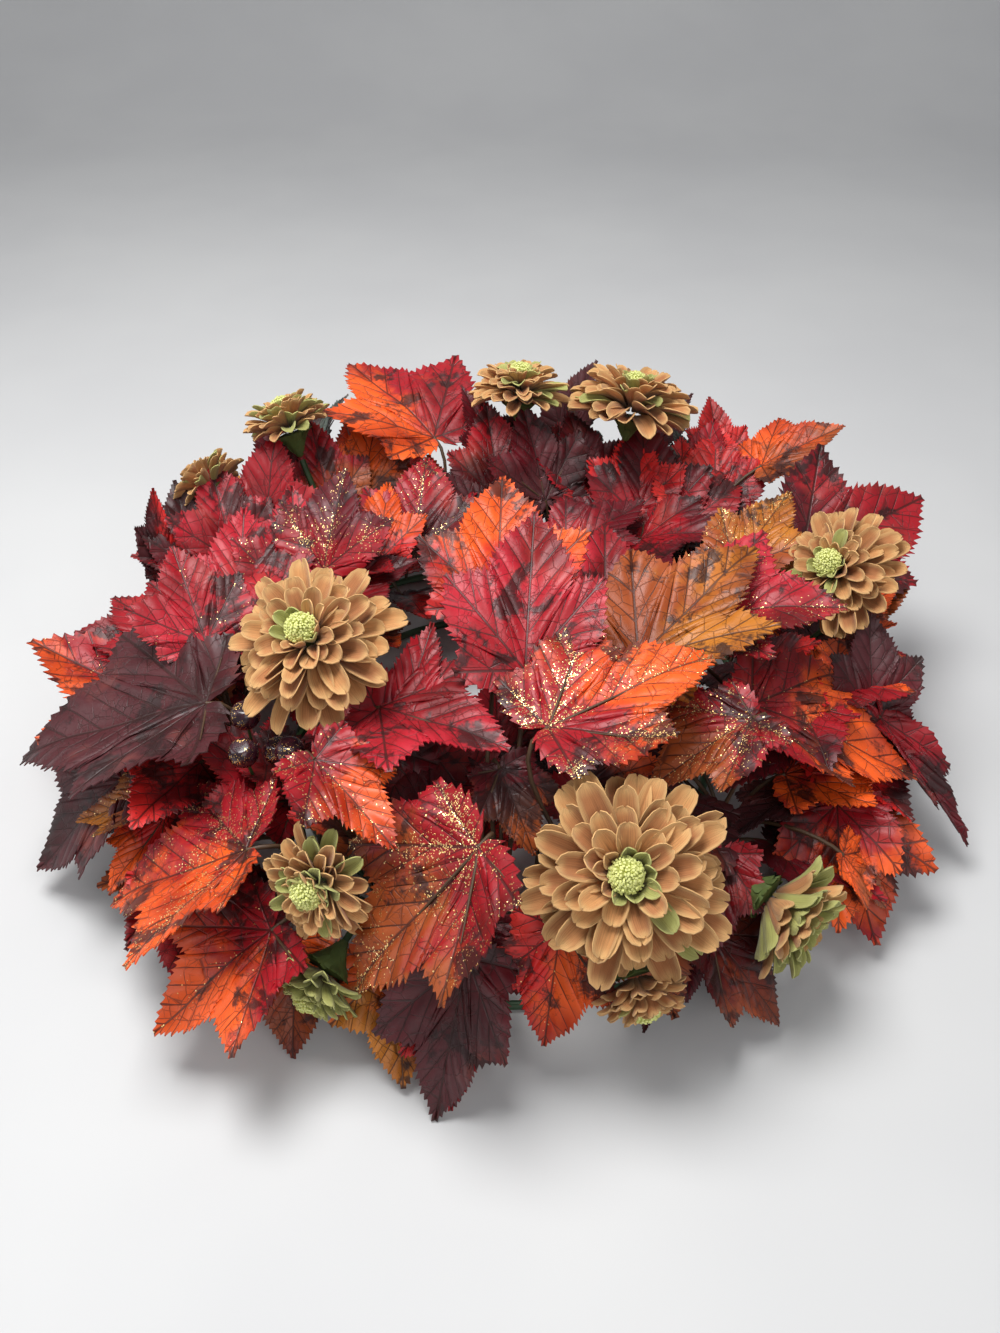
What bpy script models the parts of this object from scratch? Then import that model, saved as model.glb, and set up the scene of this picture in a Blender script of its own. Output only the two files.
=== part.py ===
"""Autumn door wreath, lying on its back: a welded wire frame with a swinging hanging loop, and on it
wire-cored zinnia picks whose heads nod, glitter berries and moulded maple leaves.

Metres. +Z is the wreath's front, +Y its top when it hangs, and the origin is the centre of its back.
"""

import math

import bmesh
import bpy
from mathutils import Matrix, Vector

# Driving dimensions
RING_RADIUS = 0.165  # middle of the wire frame
FRAME_WIDTH = 0.062  # outer ring to inner ring
FRAME_RISE = 0.024  # crown ring above the other two
RING_WIRE = 0.0050  # across the flats of the rings' wire
TIE_WIRE = 0.0036
CLEARANCE = 0.0003  # gap that stands for each touching face
LEAF_SHEET = 0.0014
STALK_WIDTH = 0.0032
JUNCTION_WIDTH = 0.0077  # of the stalk where it meets the blade
STEM_WIRE = 0.0036
BUTTON_RADIUS = 0.0095
CALYX_HEIGHT = 0.020
NECK_GAP = 0.0015  # between a stem's end and the calyx that nods on it
BERRY_RADIUS = 0.0078
LOOP_WIRE = 0.0024
LOOP_REACH = 0.024  # outer ring to the loop's cross bar
LOOP_WIDTH = 0.024
LOOP_PLAY = 0.0012  # between the loop's eyes and the wire they turn on
ROOT_TUCK = 0.00052  # how far a stalk's root laps the foot of the stem beside it

RING_SEGMENTS = 48
RING_SIDES = 8
TIE_COUNT = 4

OUTER_RADIUS = RING_RADIUS + FRAME_WIDTH / 2
INNER_RADIUS = RING_RADIUS - FRAME_WIDTH / 2
CROWN_TOP = RING_WIRE + FRAME_RISE
# Turn between the feet of a stem and of a stalk that stand side by side on the crown ring
FOOT_STEP = math.degrees(((STEM_WIRE + STALK_WIDTH) / 2 - ROOT_TUCK) / RING_RADIUS)

# Zinnias: where the stem leaves the ring, then the centre of the petals (turn round the ring, out
# from its middle, up from the back), the way the flower faces (compass angle from outwards, and lift
# above level), and its radius. Angles are in degrees.
ZINNIAS = {
    "zinnia_1": (213, 223, -0.034, 0.164, 17, 64, 0.046),
    "zinnia_2": (290, 286, 0.046, 0.118, -28, 51, 0.050),
    "zinnia_3": (4, 3, 0.034, 0.136, 202, 44, 0.040),
    "zinnia_4": (99, 86, 0.034, 0.158, 0, 78, 0.036),
    "zinnia_5": (66, 64, 0.046, 0.152, 0, 74, 0.048),
    "zinnia_6": (131, 131, 0.058, 0.148, 0, 62, 0.034),
    "zinnia_7": (247, 246, 0.046, 0.100, -6, 18, 0.031),
    "zinnia_8": (309, 308, 0.066, 0.066, 10, -8, 0.042),
}
FULL_ZINNIAS = ("zinnia_1", "zinnia_2", "zinnia_3")
BUDS = {
    "bud_1": (247, 0.064, 0.046, -10, -20, 0.027),
    "bud_2": (145, 0.080, 0.116, 0, 35, 0.030),
}
# Berries: where the wire leaves the ring, then the berry's centre.
BERRIES = {
    "berry_1": (218, 219, 0.004, 0.128),
    "berry_2": (222, 224, 0.016, 0.120),
    "berry_3": (230, 230, 0.000, 0.122),
    "berry_4": (225, 225, -0.002, 0.111),
}
# Leaves: where the stalk leaves the ring, where the blade starts (turn, out, up), where it points
# (compass angle from outwards, lift above level), roll about its own rib, blade length, width as a
# share of a full blade's, and how far the tip curls back.
LEAVES = {
    "maple_leaf_01": (186, 191, 0.024, 0.055, -31, 22, 0, 0.112, 1.0, 0.06),
    "maple_leaf_02": (194, 192, 0.006, 0.118, -76, 36, 0, 0.064, 1.0, 0.10),
    "maple_leaf_03": (208, 208, 0.014, 0.116, -27, -14, 0, 0.116, 1.0, 0.12),
    "maple_leaf_04": (202, 204, 0.066, 0.068, 0, -38, 0, 0.076, 1.0, 0.05),
    "maple_leaf_05": (238, 234, 0.046, 0.098, -60, -28, 0, 0.094, 1.0, 0.10),
    "maple_leaf_06": (242, 240, 0.060, 0.066, -30, -25, 0, 0.076, 1.05, 0.08),
    "maple_leaf_07": (256, 266, 0.054, 0.078, -18, -58, 0, 0.088, 0.66, 0.05),
    "maple_leaf_08": (261, 267, 0.028, 0.126, -59, -40, 0, 0.094, 1.0, 0.10),
    "maple_leaf_09": (277, 278, 0.042, 0.082, -22, -56, 0, 0.062, 0.9, 0.08),
    "maple_leaf_10": (247 - FOOT_STEP, 239, 0.008, 0.138, 74, -8, 0, 0.062, 0.80, 0.10),
    "maple_leaf_11": (233, 239, -0.044, 0.131, 90, 14, 0, 0.078, 1.0, 0.12),
    "maple_leaf_12": (271, 278, -0.072, 0.146, 168, 30, 0, 0.096, 0.85, 0.08),
    "maple_leaf_13": (266, 268, -0.122, 0.148, 180, 28, 0, 0.090, 0.9, 0.10),
    "maple_leaf_14": (321, 316, -0.062, 0.136, 88, 20, 0, 0.102, 0.85, 0.12),
    "maple_leaf_15": (350, 344, -0.056, 0.134, 5, 18, 0, 0.086, 1.1, 0.10),
    "maple_leaf_16": (287, 280, -0.030, 0.145, 103, 16, 0, 0.092, 1.0, 0.12),
    "maple_leaf_17": (313, 318, 0.007, 0.134, -113, -18, 0, 0.064, 0.9, 0.10),
    "maple_leaf_18": (334, 332, -0.008, 0.106, 17, -17, 0, 0.104, 0.88, 0.08),
    "maple_leaf_19": (342, 346, 0.062, 0.078, -28, -36, 0, 0.090, 0.35, 0.05),
    "maple_leaf_20": (20, 20, 0.044, 0.098, 6, 16, 30, 0.104, 1.0, 0.12),
    "maple_leaf_21": (44, 42, 0.084, 0.114, -32, 28, 0, 0.062, 1.0, 0.05),
    "maple_leaf_22": (107, 104, 0.030, 0.124, 28, 18, 0, 0.102, 1.0, 0.10),
    "maple_leaf_23": (154, 154, -0.040, 0.104, -78, 46, 0, 0.068, 1.0, 0.10),
    "maple_leaf_24": (318, 331, 0.052, 0.054, -48, -28, 0, 0.074, 1.0, 0.08),
}

# Half of a five-lobed blade, as shares of its length: along the rib, and out to one side.
RIB_STATIONS = (0.0, 0.25, 0.5, 0.75, 1.0)
HALF_OUTLINE = (
    (0.0, 0.10),
    (-0.04, 0.40),
    (0.16, 0.28),
    (0.50, 0.50),
    (0.50, 0.21),
    (0.72, 0.17),
)
BLADE_FOLD = 0.22  # rise of each half towards its edge


# Placing on the ring


def on_ring(turn, out, up):
    """The point at a turn (degrees) round the ring, out from its middle and up from the back."""
    radius = RING_RADIUS + out
    angle = math.radians(turn)
    return Vector((radius * math.cos(angle), radius * math.sin(angle), up))


def facing(turn, compass, lift):
    """The unit direction at a compass angle from outwards, and a lift above level, at a turn."""
    plan = math.radians(turn + compass)
    level = math.cos(math.radians(lift))
    return Vector((level * math.cos(plan), level * math.sin(plan), math.sin(math.radians(lift))))


def blade_frame(origin, along, roll):
    """A frame with X along the blade's rib and Z out of its printed face."""
    across = Vector((0, 0, 1)).cross(along).normalized()
    across.rotate(Matrix.Rotation(math.radians(roll), 3, along))
    face = along.cross(across)
    frame = Matrix((along, across, face)).transposed().to_4x4()
    frame.translation = origin
    return frame


def axis_frame(origin, axis):
    """A frame whose Z runs along an axis."""
    frame = axis.to_track_quat("Z", "Y").to_matrix().to_4x4()
    frame.translation = origin
    return frame


def bezier(start, first, second, end, count):
    """Points along a cubic curve."""
    points = []
    for step in range(count + 1):
        t = step / count
        s = 1 - t
        points.append(s**3 * start + 3 * s * s * t * first + 3 * s * t * t * second + t**3 * end)
    return points


# Making objects


def clear_scene():
    for obj in list(bpy.data.objects):
        bpy.data.objects.remove(obj, do_unlink=True)


def finish_material(name, colour, roughness, metallic=0.0):
    material = bpy.data.materials.get(name) or bpy.data.materials.new(name)
    material.use_nodes = True
    shader = material.node_tree.nodes["Principled BSDF"]
    shader.inputs["Base Color"].default_value = (*colour, 1.0)
    shader.inputs["Roughness"].default_value = roughness
    shader.inputs["Metallic"].default_value = metallic
    return material


def add_object(name, mesh, material, frame=None):
    obj = bpy.data.objects.new(name, mesh)
    bpy.context.scene.collection.objects.link(obj)
    obj.matrix_world = frame or Matrix()
    mesh.materials.append(material)
    return obj


def mesh_from(bm, name, smooth=True):
    bmesh.ops.recalc_face_normals(bm, faces=bm.faces)
    mesh = bpy.data.meshes.new(name)
    bm.to_mesh(mesh)
    bm.free()
    if smooth:
        mesh.shade_smooth()
        mesh.set_sharp_from_angle(angle=math.radians(40))
    return mesh


def skinned(bm, rings):
    """Joins rings of corners, each the same length, into a closed-round skin."""
    for lower, upper in zip(rings, rings[1:]):
        for here in range(len(lower)):
            there = (here + 1) % len(lower)
            bm.faces.new((lower[here], lower[there], upper[there], upper[here]))


def turned_ring(name, radius, height, material):
    """A ring of eight-sided wire with a flat facet on its back, standing on its lowest height."""
    bm = bmesh.new()
    corner = RING_WIRE / 2 / math.cos(math.pi / RING_SIDES)
    rings = []
    for step in range(RING_SIDES):
        angle = 2 * math.pi * (step + 0.5) / RING_SIDES
        reach = radius + corner * math.cos(angle)
        level = height + RING_WIRE / 2 + corner * math.sin(angle)
        ring = []
        for segment in range(RING_SEGMENTS):
            turn = 2 * math.pi * segment / RING_SEGMENTS
            ring.append(bm.verts.new((reach * math.cos(turn), reach * math.sin(turn), level)))
        rings.append(ring)
    skinned(bm, rings + rings[:1])
    return add_object(name, mesh_from(bm, name), material)


def swept(name, points, radius, material, sides=8, side=None):
    """A closed round bar along points. Its first flat faces side, where one is given."""
    bm = bmesh.new()
    rings = []
    corner = radius / math.cos(math.pi / sides)
    for index, point in enumerate(points):
        ahead = points[min(index + 1, len(points) - 1)]
        behind = points[max(index - 1, 0)]
        along = (ahead - behind).normalized()
        if side is None:
            side = along.orthogonal().normalized()
        side = (side - along * side.dot(along)).normalized()
        other = along.cross(side)
        ring = []
        for step in range(sides):
            angle = 2 * math.pi * (step + 0.5) / sides
            spoke = math.cos(angle) * side + math.sin(angle) * other
            ring.append(bm.verts.new(point + corner * spoke))
        rings.append(ring)
    skinned(bm, rings)
    bm.faces.new(rings[0])
    bm.faces.new(rings[-1])
    return add_object(name, mesh_from(bm, name), material)


def lathed(name, profile, segments, material, frame, scallop=0.0):
    """A closed turned body. The profile runs from axis to axis, and scallop draws in every other
    segment of the points marked with a third value."""
    bm = bmesh.new()
    rings = []
    for reach, level, *petal in profile:
        if reach == 0:
            rings.append([bm.verts.new((0, 0, level))])
            continue
        ring = []
        for segment in range(segments):
            turn = 2 * math.pi * segment / segments
            notch = 1 - scallop * (segment % 2) if petal else 1
            ring.append(bm.verts.new((notch * reach * math.cos(turn), notch * reach * math.sin(turn), level)))
        rings.append(ring)
    for lower, upper in zip(rings, rings[1:]):
        if len(lower) == 1 or len(upper) == 1:
            point = (lower if len(lower) == 1 else upper)[0]
            rim = upper if len(lower) == 1 else lower
            for here in range(segments):
                bm.faces.new((point, rim[here], rim[(here + 1) % segments]))
        else:
            skinned(bm, [lower, upper])
    return add_object(name, mesh_from(bm, name), material, frame)


# The wire frame


def make_wire_frame(material):
    turned_ring("outer_ring", OUTER_RADIUS, 0.0, material)
    turned_ring("inner_ring", INNER_RADIUS, 0.0, material)
    turned_ring("crown_ring", RING_RADIUS, FRAME_RISE, material)


def make_cross_ties(material):
    """Arched ties over the two back rings and under the crown ring."""
    foot = RING_WIRE + CLEARANCE + TIE_WIRE / 2
    crest = FRAME_RISE - CLEARANCE - TIE_WIRE / 2
    overhang = RING_WIRE / 2
    for index in range(TIE_COUNT):
        turn = 360 * (index + 0.5) / TIE_COUNT
        half = FRAME_WIDTH / 2
        outer = on_ring(turn, half + overhang, foot)
        inner = on_ring(turn, -half - overhang, foot)
        points = [outer]
        for share in (1.0, 0.75, 0.5, 0.2, -0.2, -0.5, -0.75, -1.0):
            rise = (1 - abs(share)) / 0.8
            points.append(on_ring(turn, share * half, foot + (crest - foot) * min(1.0, rise)))
        points.append(inner)
        swept(f"cross_tie_{index + 1}", points, TIE_WIRE / 2, material)


def make_hanging_loop(material):
    """A wire loop whose two eyes turn on the crown ring at its top. It leans on the outer ring."""
    half = LOOP_WIDTH / 2
    pivot = Vector((0, math.sqrt(RING_RADIUS**2 - half**2), FRAME_RISE + RING_WIRE / 2))
    eye = RING_WIRE / 2 + LOOP_PLAY + LOOP_WIRE / 2
    across = OUTER_RADIUS - pivot.y
    lean = RING_WIRE + CLEARANCE + LOOP_WIRE / 2 + RING_WIRE / 10 - pivot.z
    # The wire leaves the eye's top on a straight line to where it leans.
    slope = math.atan2(lean, across) + math.asin(eye / math.hypot(across, lean))
    leaving = math.degrees(math.pi / 2 + slope)
    arm = []
    turns = 12
    for step in range(turns + 1):
        angle = math.radians(-20 - (340 - leaving) * step / turns)
        arm.append(Vector((half, eye * math.cos(angle), eye * math.sin(angle))))
    bar = across + LOOP_REACH
    corner = LOOP_WIDTH / 4
    arm += [
        Vector((half, across, lean)),
        Vector((half, bar - corner, lean)),
        Vector((half - corner / 3, bar - corner / 3, lean)),
        Vector((half - corner, bar, lean)),
    ]
    arm += [Vector((-p.x, p.y, p.z)) for p in reversed(arm)]
    points = [pivot + p for p in arm]
    swept("hanging_loop", points, LOOP_WIRE / 2, material, side=Vector((1, 0, 0)))


# Flowers and berries


def neck_of(turn, out, up, compass, lift, radius):
    """A flower's neck and the direction it faces, from its petals' place."""
    axis = facing(turn, compass, lift)
    return on_ring(turn, out, up) - axis * (CALYX_HEIGHT + 0.2 * radius), axis


def make_stem(name, neck, axis, turn, material):
    """A wire-cored stem from the crown ring to just under the neck."""
    root = on_ring(turn, 0, CROWN_TOP + CLEARANCE + STEM_WIRE / 2 + 0.0006)
    end = neck - axis * NECK_GAP / 2
    reach = (end - root).length
    points = bezier(root, root + Vector((0, 0, 0.35 * reach)), end - axis * 0.3 * reach, end, 10)
    return swept(name, points, STEM_WIRE / 2, material, 6)


def calyx_profile():
    """The green cup under the petals: a round neck, then a flare with a flat top."""
    wire = STEM_WIRE / 2
    return (
        (0, NECK_GAP / 2),
        (wire, NECK_GAP / 2 + 0.0004),
        (wire * 1.2, 0.25 * CALYX_HEIGHT),
        (0.0085, 0.5 * CALYX_HEIGHT),
        (0.0125, CALYX_HEIGHT - CLEARANCE),
        (0, CALYX_HEIGHT - CLEARANCE),
    )


def petal_profile(radius, base, seat):
    """Layered petals from their underside at base to the seat of the button."""
    return (
        (0, base),
        (0.30 * radius, base),
        (0.62 * radius, base + 0.16 * radius, "petal"),
        (0.97 * radius, base + 0.09 * radius, "petal"),
        (radius, base + 0.16 * radius, "petal"),
        (0.86 * radius, base + 0.30 * radius, "petal"),
        (0.80 * radius, base + 0.42 * radius, "petal"),
        (0.52 * radius, base + 0.52 * radius),
        (seat, base + 0.50 * radius),
        (0, base + 0.50 * radius),
    )


def button_profile(base):
    return (
        (0, base),
        (BUTTON_RADIUS * 0.9, base),
        (BUTTON_RADIUS, base + 0.25 * BUTTON_RADIUS),
        (BUTTON_RADIUS * 0.72, base + 0.72 * BUTTON_RADIUS),
        (0, base + 0.9 * BUTTON_RADIUS),
    )


def head_profile(radius):
    """Calyx and petals of a smaller flower, as one moulding."""
    cup = calyx_profile()[:4]
    return cup + petal_profile(radius, CALYX_HEIGHT, BUTTON_RADIUS)[1:]


def nodding_empty(name, neck):
    """The empty that a flower's moving pieces hang from, on the nod's axis."""
    empty = bpy.data.objects.new(f"{name}_neck", None)
    bpy.context.scene.collection.objects.link(empty)
    empty.matrix_world = Matrix.Translation(neck)
    return empty


def make_zinnia(name, root, place, materials):
    radius = place[5]
    neck, axis = neck_of(*place)
    frame = axis_frame(neck, axis)
    make_stem(f"{name}_stem", neck, axis, root, materials["stem"])
    if name in FULL_ZINNIAS:
        seat = BUTTON_RADIUS * 1.1
        pieces = [
            lathed(f"{name}_calyx", calyx_profile(), 12, materials["calyx"], frame),
            lathed(
                f"{name}_petals",
                petal_profile(radius, CALYX_HEIGHT, seat),
                28,
                materials["petal"],
                frame,
                0.12,
            ),
            lathed(
                f"{name}_button",
                button_profile(CALYX_HEIGHT + 0.50 * radius + CLEARANCE),
                12,
                materials["button"],
                frame,
            ),
        ]
    else:
        pieces = [lathed(f"{name}_head", head_profile(radius), 20, materials["petal"], frame, 0.12)]
    empty = nodding_empty(name, neck)
    bpy.context.view_layer.update()
    for piece in pieces:
        kept = piece.matrix_world.copy()
        piece.parent = empty
        piece.matrix_world = kept


def make_bud(name, place, materials):
    """A small flower that stays put, turned in one piece with its short stem."""
    neck, axis = neck_of(*place)
    radius = place[5]
    root = on_ring(place[0], FRAME_WIDTH / 4, CROWN_TOP)
    tail = min(0.03, (neck - root).length * 0.6)
    profile = ((0, -tail), (STEM_WIRE / 2, -tail)) + head_profile(radius)[1:]
    lathed(name, profile, 16, materials["petal"], axis_frame(neck, axis), 0.12)


def make_berry(name, root_turn, place, materials):
    """A round berry on its own wire, from above the crown ring."""
    centre = on_ring(*place)
    root = on_ring(root_turn, 0, CROWN_TOP + CLEARANCE + STEM_WIRE / 3)
    wire = STEM_WIRE / 3
    axis = (centre - root).normalized()
    reach = (centre - root).length
    profile = [(0, 0), (wire, 0), (wire, reach - BERRY_RADIUS)]
    for degrees in (-60, -30, 0, 30, 60):
        angle = math.radians(degrees)
        profile.append((BERRY_RADIUS * math.cos(angle), reach + BERRY_RADIUS * math.sin(angle)))
    profile.append((0, reach + BERRY_RADIUS))
    lathed(name, profile, 10, materials["berry"], axis_frame(root, axis))


# Leaves


def blade_point(along, across, length, curl):
    """A point of the blade, folded up a little from its rib and curled back towards its tip."""
    x = along * length
    y = across * length
    return Vector((x, y, BLADE_FOLD * abs(y) - curl * length * max(0.0, along) ** 2))


def make_leaf(name, root_turn, place, material):
    """A five-lobed blade and its stalk in one sheet, which Solidify thickens."""
    turn, out, up, compass, lift, roll, length, width, curl = place
    base = on_ring(turn, out, up)
    along = facing(turn, compass, lift)
    frame = blade_frame(base, along, roll)
    bm = bmesh.new()
    rib = [bm.verts.new(blade_point(station, 0, length, curl)) for station in RIB_STATIONS]
    stalk = stalk_rows(bm, frame, root_turn, base, along)
    for side in (1, -1):
        rim = [bm.verts.new(blade_point(x, side * width * y, length, curl)) for x, y in HALF_OUTLINE]
        edge = stalk[0][0 if side > 0 else 2]
        fan = (
            (rib[0], edge, rim[0]),
            (rib[0], rim[0], rim[2]),
            (rim[0], rim[1], rim[2]),
            (rib[0], rim[2], rib[1]),
            (rib[1], rim[2], rim[4]),
            (rim[2], rim[3], rim[4]),
            (rib[1], rim[4], rib[2]),
            (rib[2], rim[4], rim[5]),
            (rib[2], rim[5], rib[3]),
            (rib[3], rim[5], rib[4]),
        )
        for corners in fan:
            bm.faces.new(corners)
    rows = [(stalk[0][0], rib[0], stalk[0][2])] + stalk[1:]
    for upper, lower in zip(rows, rows[1:]):
        for column in (0, 1):
            bm.faces.new((upper[column], upper[column + 1], lower[column + 1], lower[column]))
    obj = add_object(name, mesh_from(bm, name, smooth=False), material, frame)
    sheet = obj.modifiers.new("sheet", "SOLIDIFY")
    sheet.thickness = LEAF_SHEET
    sheet.offset = 0


def stalk_rows(bm, frame, root_turn, base, along):
    """Rows of three corners down the stalk, from the blade to a little above the crown ring."""
    root = on_ring(root_turn, 0, CROWN_TOP + CLEARANCE + LEAF_SHEET)
    reach = (base - root).length
    path = bezier(base, base - along * 0.3 * reach, root + Vector((0, 0, 0.35 * reach)), root, 5)
    home = frame.inverted()
    rows = []
    for index, point in enumerate(path):
        half = STALK_WIDTH / 2 if index else JUNCTION_WIDTH / 2
        local = home @ point
        middle = None if index == 0 else bm.verts.new(local)
        left = bm.verts.new(local + Vector((0, half, 0)))
        right = bm.verts.new(local - Vector((0, half, 0)))
        rows.append((left, middle, right))
    return rows


def main():
    clear_scene()
    materials = {
        "frame": finish_material("green_coated_wire", (0.03, 0.07, 0.03), 0.5, 0.2),
        "stem": finish_material("stem_plastic", (0.06, 0.11, 0.04), 0.55),
        "calyx": finish_material("calyx_plastic", (0.20, 0.26, 0.10), 0.6),
        "petal": finish_material("petal_fabric", (0.55, 0.28, 0.11), 0.8),
        "button": finish_material("button_flock", (0.50, 0.55, 0.12), 0.9),
        "berry": finish_material("berry_gloss", (0.02, 0.008, 0.01), 0.2),
        "leaf": finish_material("leaf_fabric", (0.36, 0.03, 0.03), 0.5),
    }
    make_wire_frame(materials["frame"])
    make_cross_ties(materials["frame"])
    make_hanging_loop(materials["frame"])
    for name, (root, *place) in ZINNIAS.items():
        make_zinnia(name, root, place, materials)
    for name, place in BUDS.items():
        make_bud(name, place, materials)
    for name, (root, *place) in BERRIES.items():
        make_berry(name, root, place, materials)
    for name, (root, *place) in LEAVES.items():
        make_leaf(name, root, place, materials["leaf"])
    bpy.context.view_layer.update()


main()
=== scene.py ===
"""Autumn door wreath: printed maple leaves, zinnia picks and glitter berries on a wire frame.

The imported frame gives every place. This script builds the finished pieces round it, and the stage.
Metres. +Z is the wreath's front, +Y its top when it hangs, and the origin is the centre of its back.
"""

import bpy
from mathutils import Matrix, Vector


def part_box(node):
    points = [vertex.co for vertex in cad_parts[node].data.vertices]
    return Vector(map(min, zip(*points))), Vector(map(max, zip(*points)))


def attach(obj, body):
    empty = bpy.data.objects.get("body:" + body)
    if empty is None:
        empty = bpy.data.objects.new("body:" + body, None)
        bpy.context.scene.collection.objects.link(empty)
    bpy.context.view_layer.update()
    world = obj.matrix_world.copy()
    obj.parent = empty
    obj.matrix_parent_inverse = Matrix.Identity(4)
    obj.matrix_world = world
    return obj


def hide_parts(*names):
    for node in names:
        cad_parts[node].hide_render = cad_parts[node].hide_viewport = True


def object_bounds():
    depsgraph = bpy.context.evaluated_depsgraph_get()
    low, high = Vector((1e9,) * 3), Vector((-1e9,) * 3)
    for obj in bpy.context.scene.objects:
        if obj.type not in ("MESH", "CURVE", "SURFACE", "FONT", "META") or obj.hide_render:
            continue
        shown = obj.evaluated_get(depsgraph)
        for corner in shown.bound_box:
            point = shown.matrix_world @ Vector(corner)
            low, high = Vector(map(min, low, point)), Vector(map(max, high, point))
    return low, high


bl_info = {
    "name": "Autumn Door Wreath",
    "version": (1, 0, 0),
    "blender": (4, 5, 0),
    "location": "3D View > Sidebar > Wreath",
    "description": "Builds the leaves, flowers, berries and stage of an autumn door wreath",
    "category": "Add Mesh",
}

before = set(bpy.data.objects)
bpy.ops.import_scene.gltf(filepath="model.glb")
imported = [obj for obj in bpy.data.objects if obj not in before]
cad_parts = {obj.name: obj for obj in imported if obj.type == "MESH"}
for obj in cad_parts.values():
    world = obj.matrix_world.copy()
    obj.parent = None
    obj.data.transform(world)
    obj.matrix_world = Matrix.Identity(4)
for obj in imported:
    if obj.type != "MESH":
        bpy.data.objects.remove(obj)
CAD_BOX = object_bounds()

import math
import random

import bpy
import numpy as np
from bpy.props import FloatProperty, FloatVectorProperty, IntProperty, PointerProperty
from mathutils import Matrix, Vector, noise

TAU = 2 * math.pi


# Setting-out, read from the frame


def ring_of(node):
    """(radius of the wire's middle, height of its middle, wire across) of one of the frame's rings."""
    low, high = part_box(node)
    wire = high.z - low.z
    return (high.x - low.x - wire) / 2, (high.z + low.z) / 2, wire


RING_RADIUS, CROWN_MIDDLE, RING_WIRE = ring_of("crown_ring")
OUTER_RADIUS, BACK_MIDDLE, _ = ring_of("outer_ring")
INNER_RADIUS, _, _ = ring_of("inner_ring")
CROWN_TOP = CROWN_MIDDLE + RING_WIRE / 2
FLOOR_HEIGHT = CAD_BOX[0][2]

# Sizes that the frame's picks are set out with
STEM_WIRE = 0.0036
CALYX_HEIGHT = 0.020
BUTTON_RADIUS = 0.0095
BERRY_RADIUS = 0.0078
STALK_RADIUS = 0.0012

# A calyx cup's radius, how far a leaf's wire lies below the blade, and a berry's wire.
CUP_RADIUS = 0.0112
RIB_DROP = 0.0012
BERRY_WIRE_RADIUS = 0.0009

# Zinnias: centre of the petals (turn round the ring in degrees, out from its middle, up from the
# back), the way the flower faces (compass from outwards, lift above level), radius, how far open it
# is, and its share of green petals.
ZINNIAS = {
    "zinnia_1": (223, -0.034, 0.164, 17, 64, 0.046, 1.0, 0.10),
    "zinnia_2": (286, 0.046, 0.118, -28, 51, 0.050, 1.0, 0.08),
    "zinnia_3": (3, 0.034, 0.136, 202, 44, 0.040, 1.0, 0.12),
    "zinnia_4": (86, 0.034, 0.158, 0, 78, 0.036, 0.95, 0.30),
    "zinnia_5": (64, 0.046, 0.152, 0, 74, 0.048, 0.95, 0.25),
    "zinnia_6": (131, 0.058, 0.148, 0, 62, 0.034, 0.8, 0.45),
    "zinnia_7": (246, 0.046, 0.100, -6, 18, 0.031, 0.75, 0.35),
    "zinnia_8": (308, 0.066, 0.066, 10, -8, 0.042, 0.55, 0.62),
}
FULL_ZINNIAS = ("zinnia_1", "zinnia_2", "zinnia_3")
BUDS = {
    "bud_1": (247, 0.064, 0.046, -10, -20, 0.027, 0.75, 0.95),
    "bud_2": (145, 0.080, 0.116, 0, 35, 0.030, 0.8, 0.35),
}
LOOSE_BUDS = {
    "loose_bud_1": (286, 0.072, 0.066, 0, -30, 0.027, 0.6, 0.10),
}
# Berries: where the wire leaves the ring, then the berry's centre.
BERRIES = {
    "berry_1": (218, 219, 0.004, 0.128),
    "berry_2": (222, 224, 0.016, 0.120),
    "berry_3": (230, 230, 0.000, 0.122),
    "berry_4": (225, 225, -0.002, 0.111),
}

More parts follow.
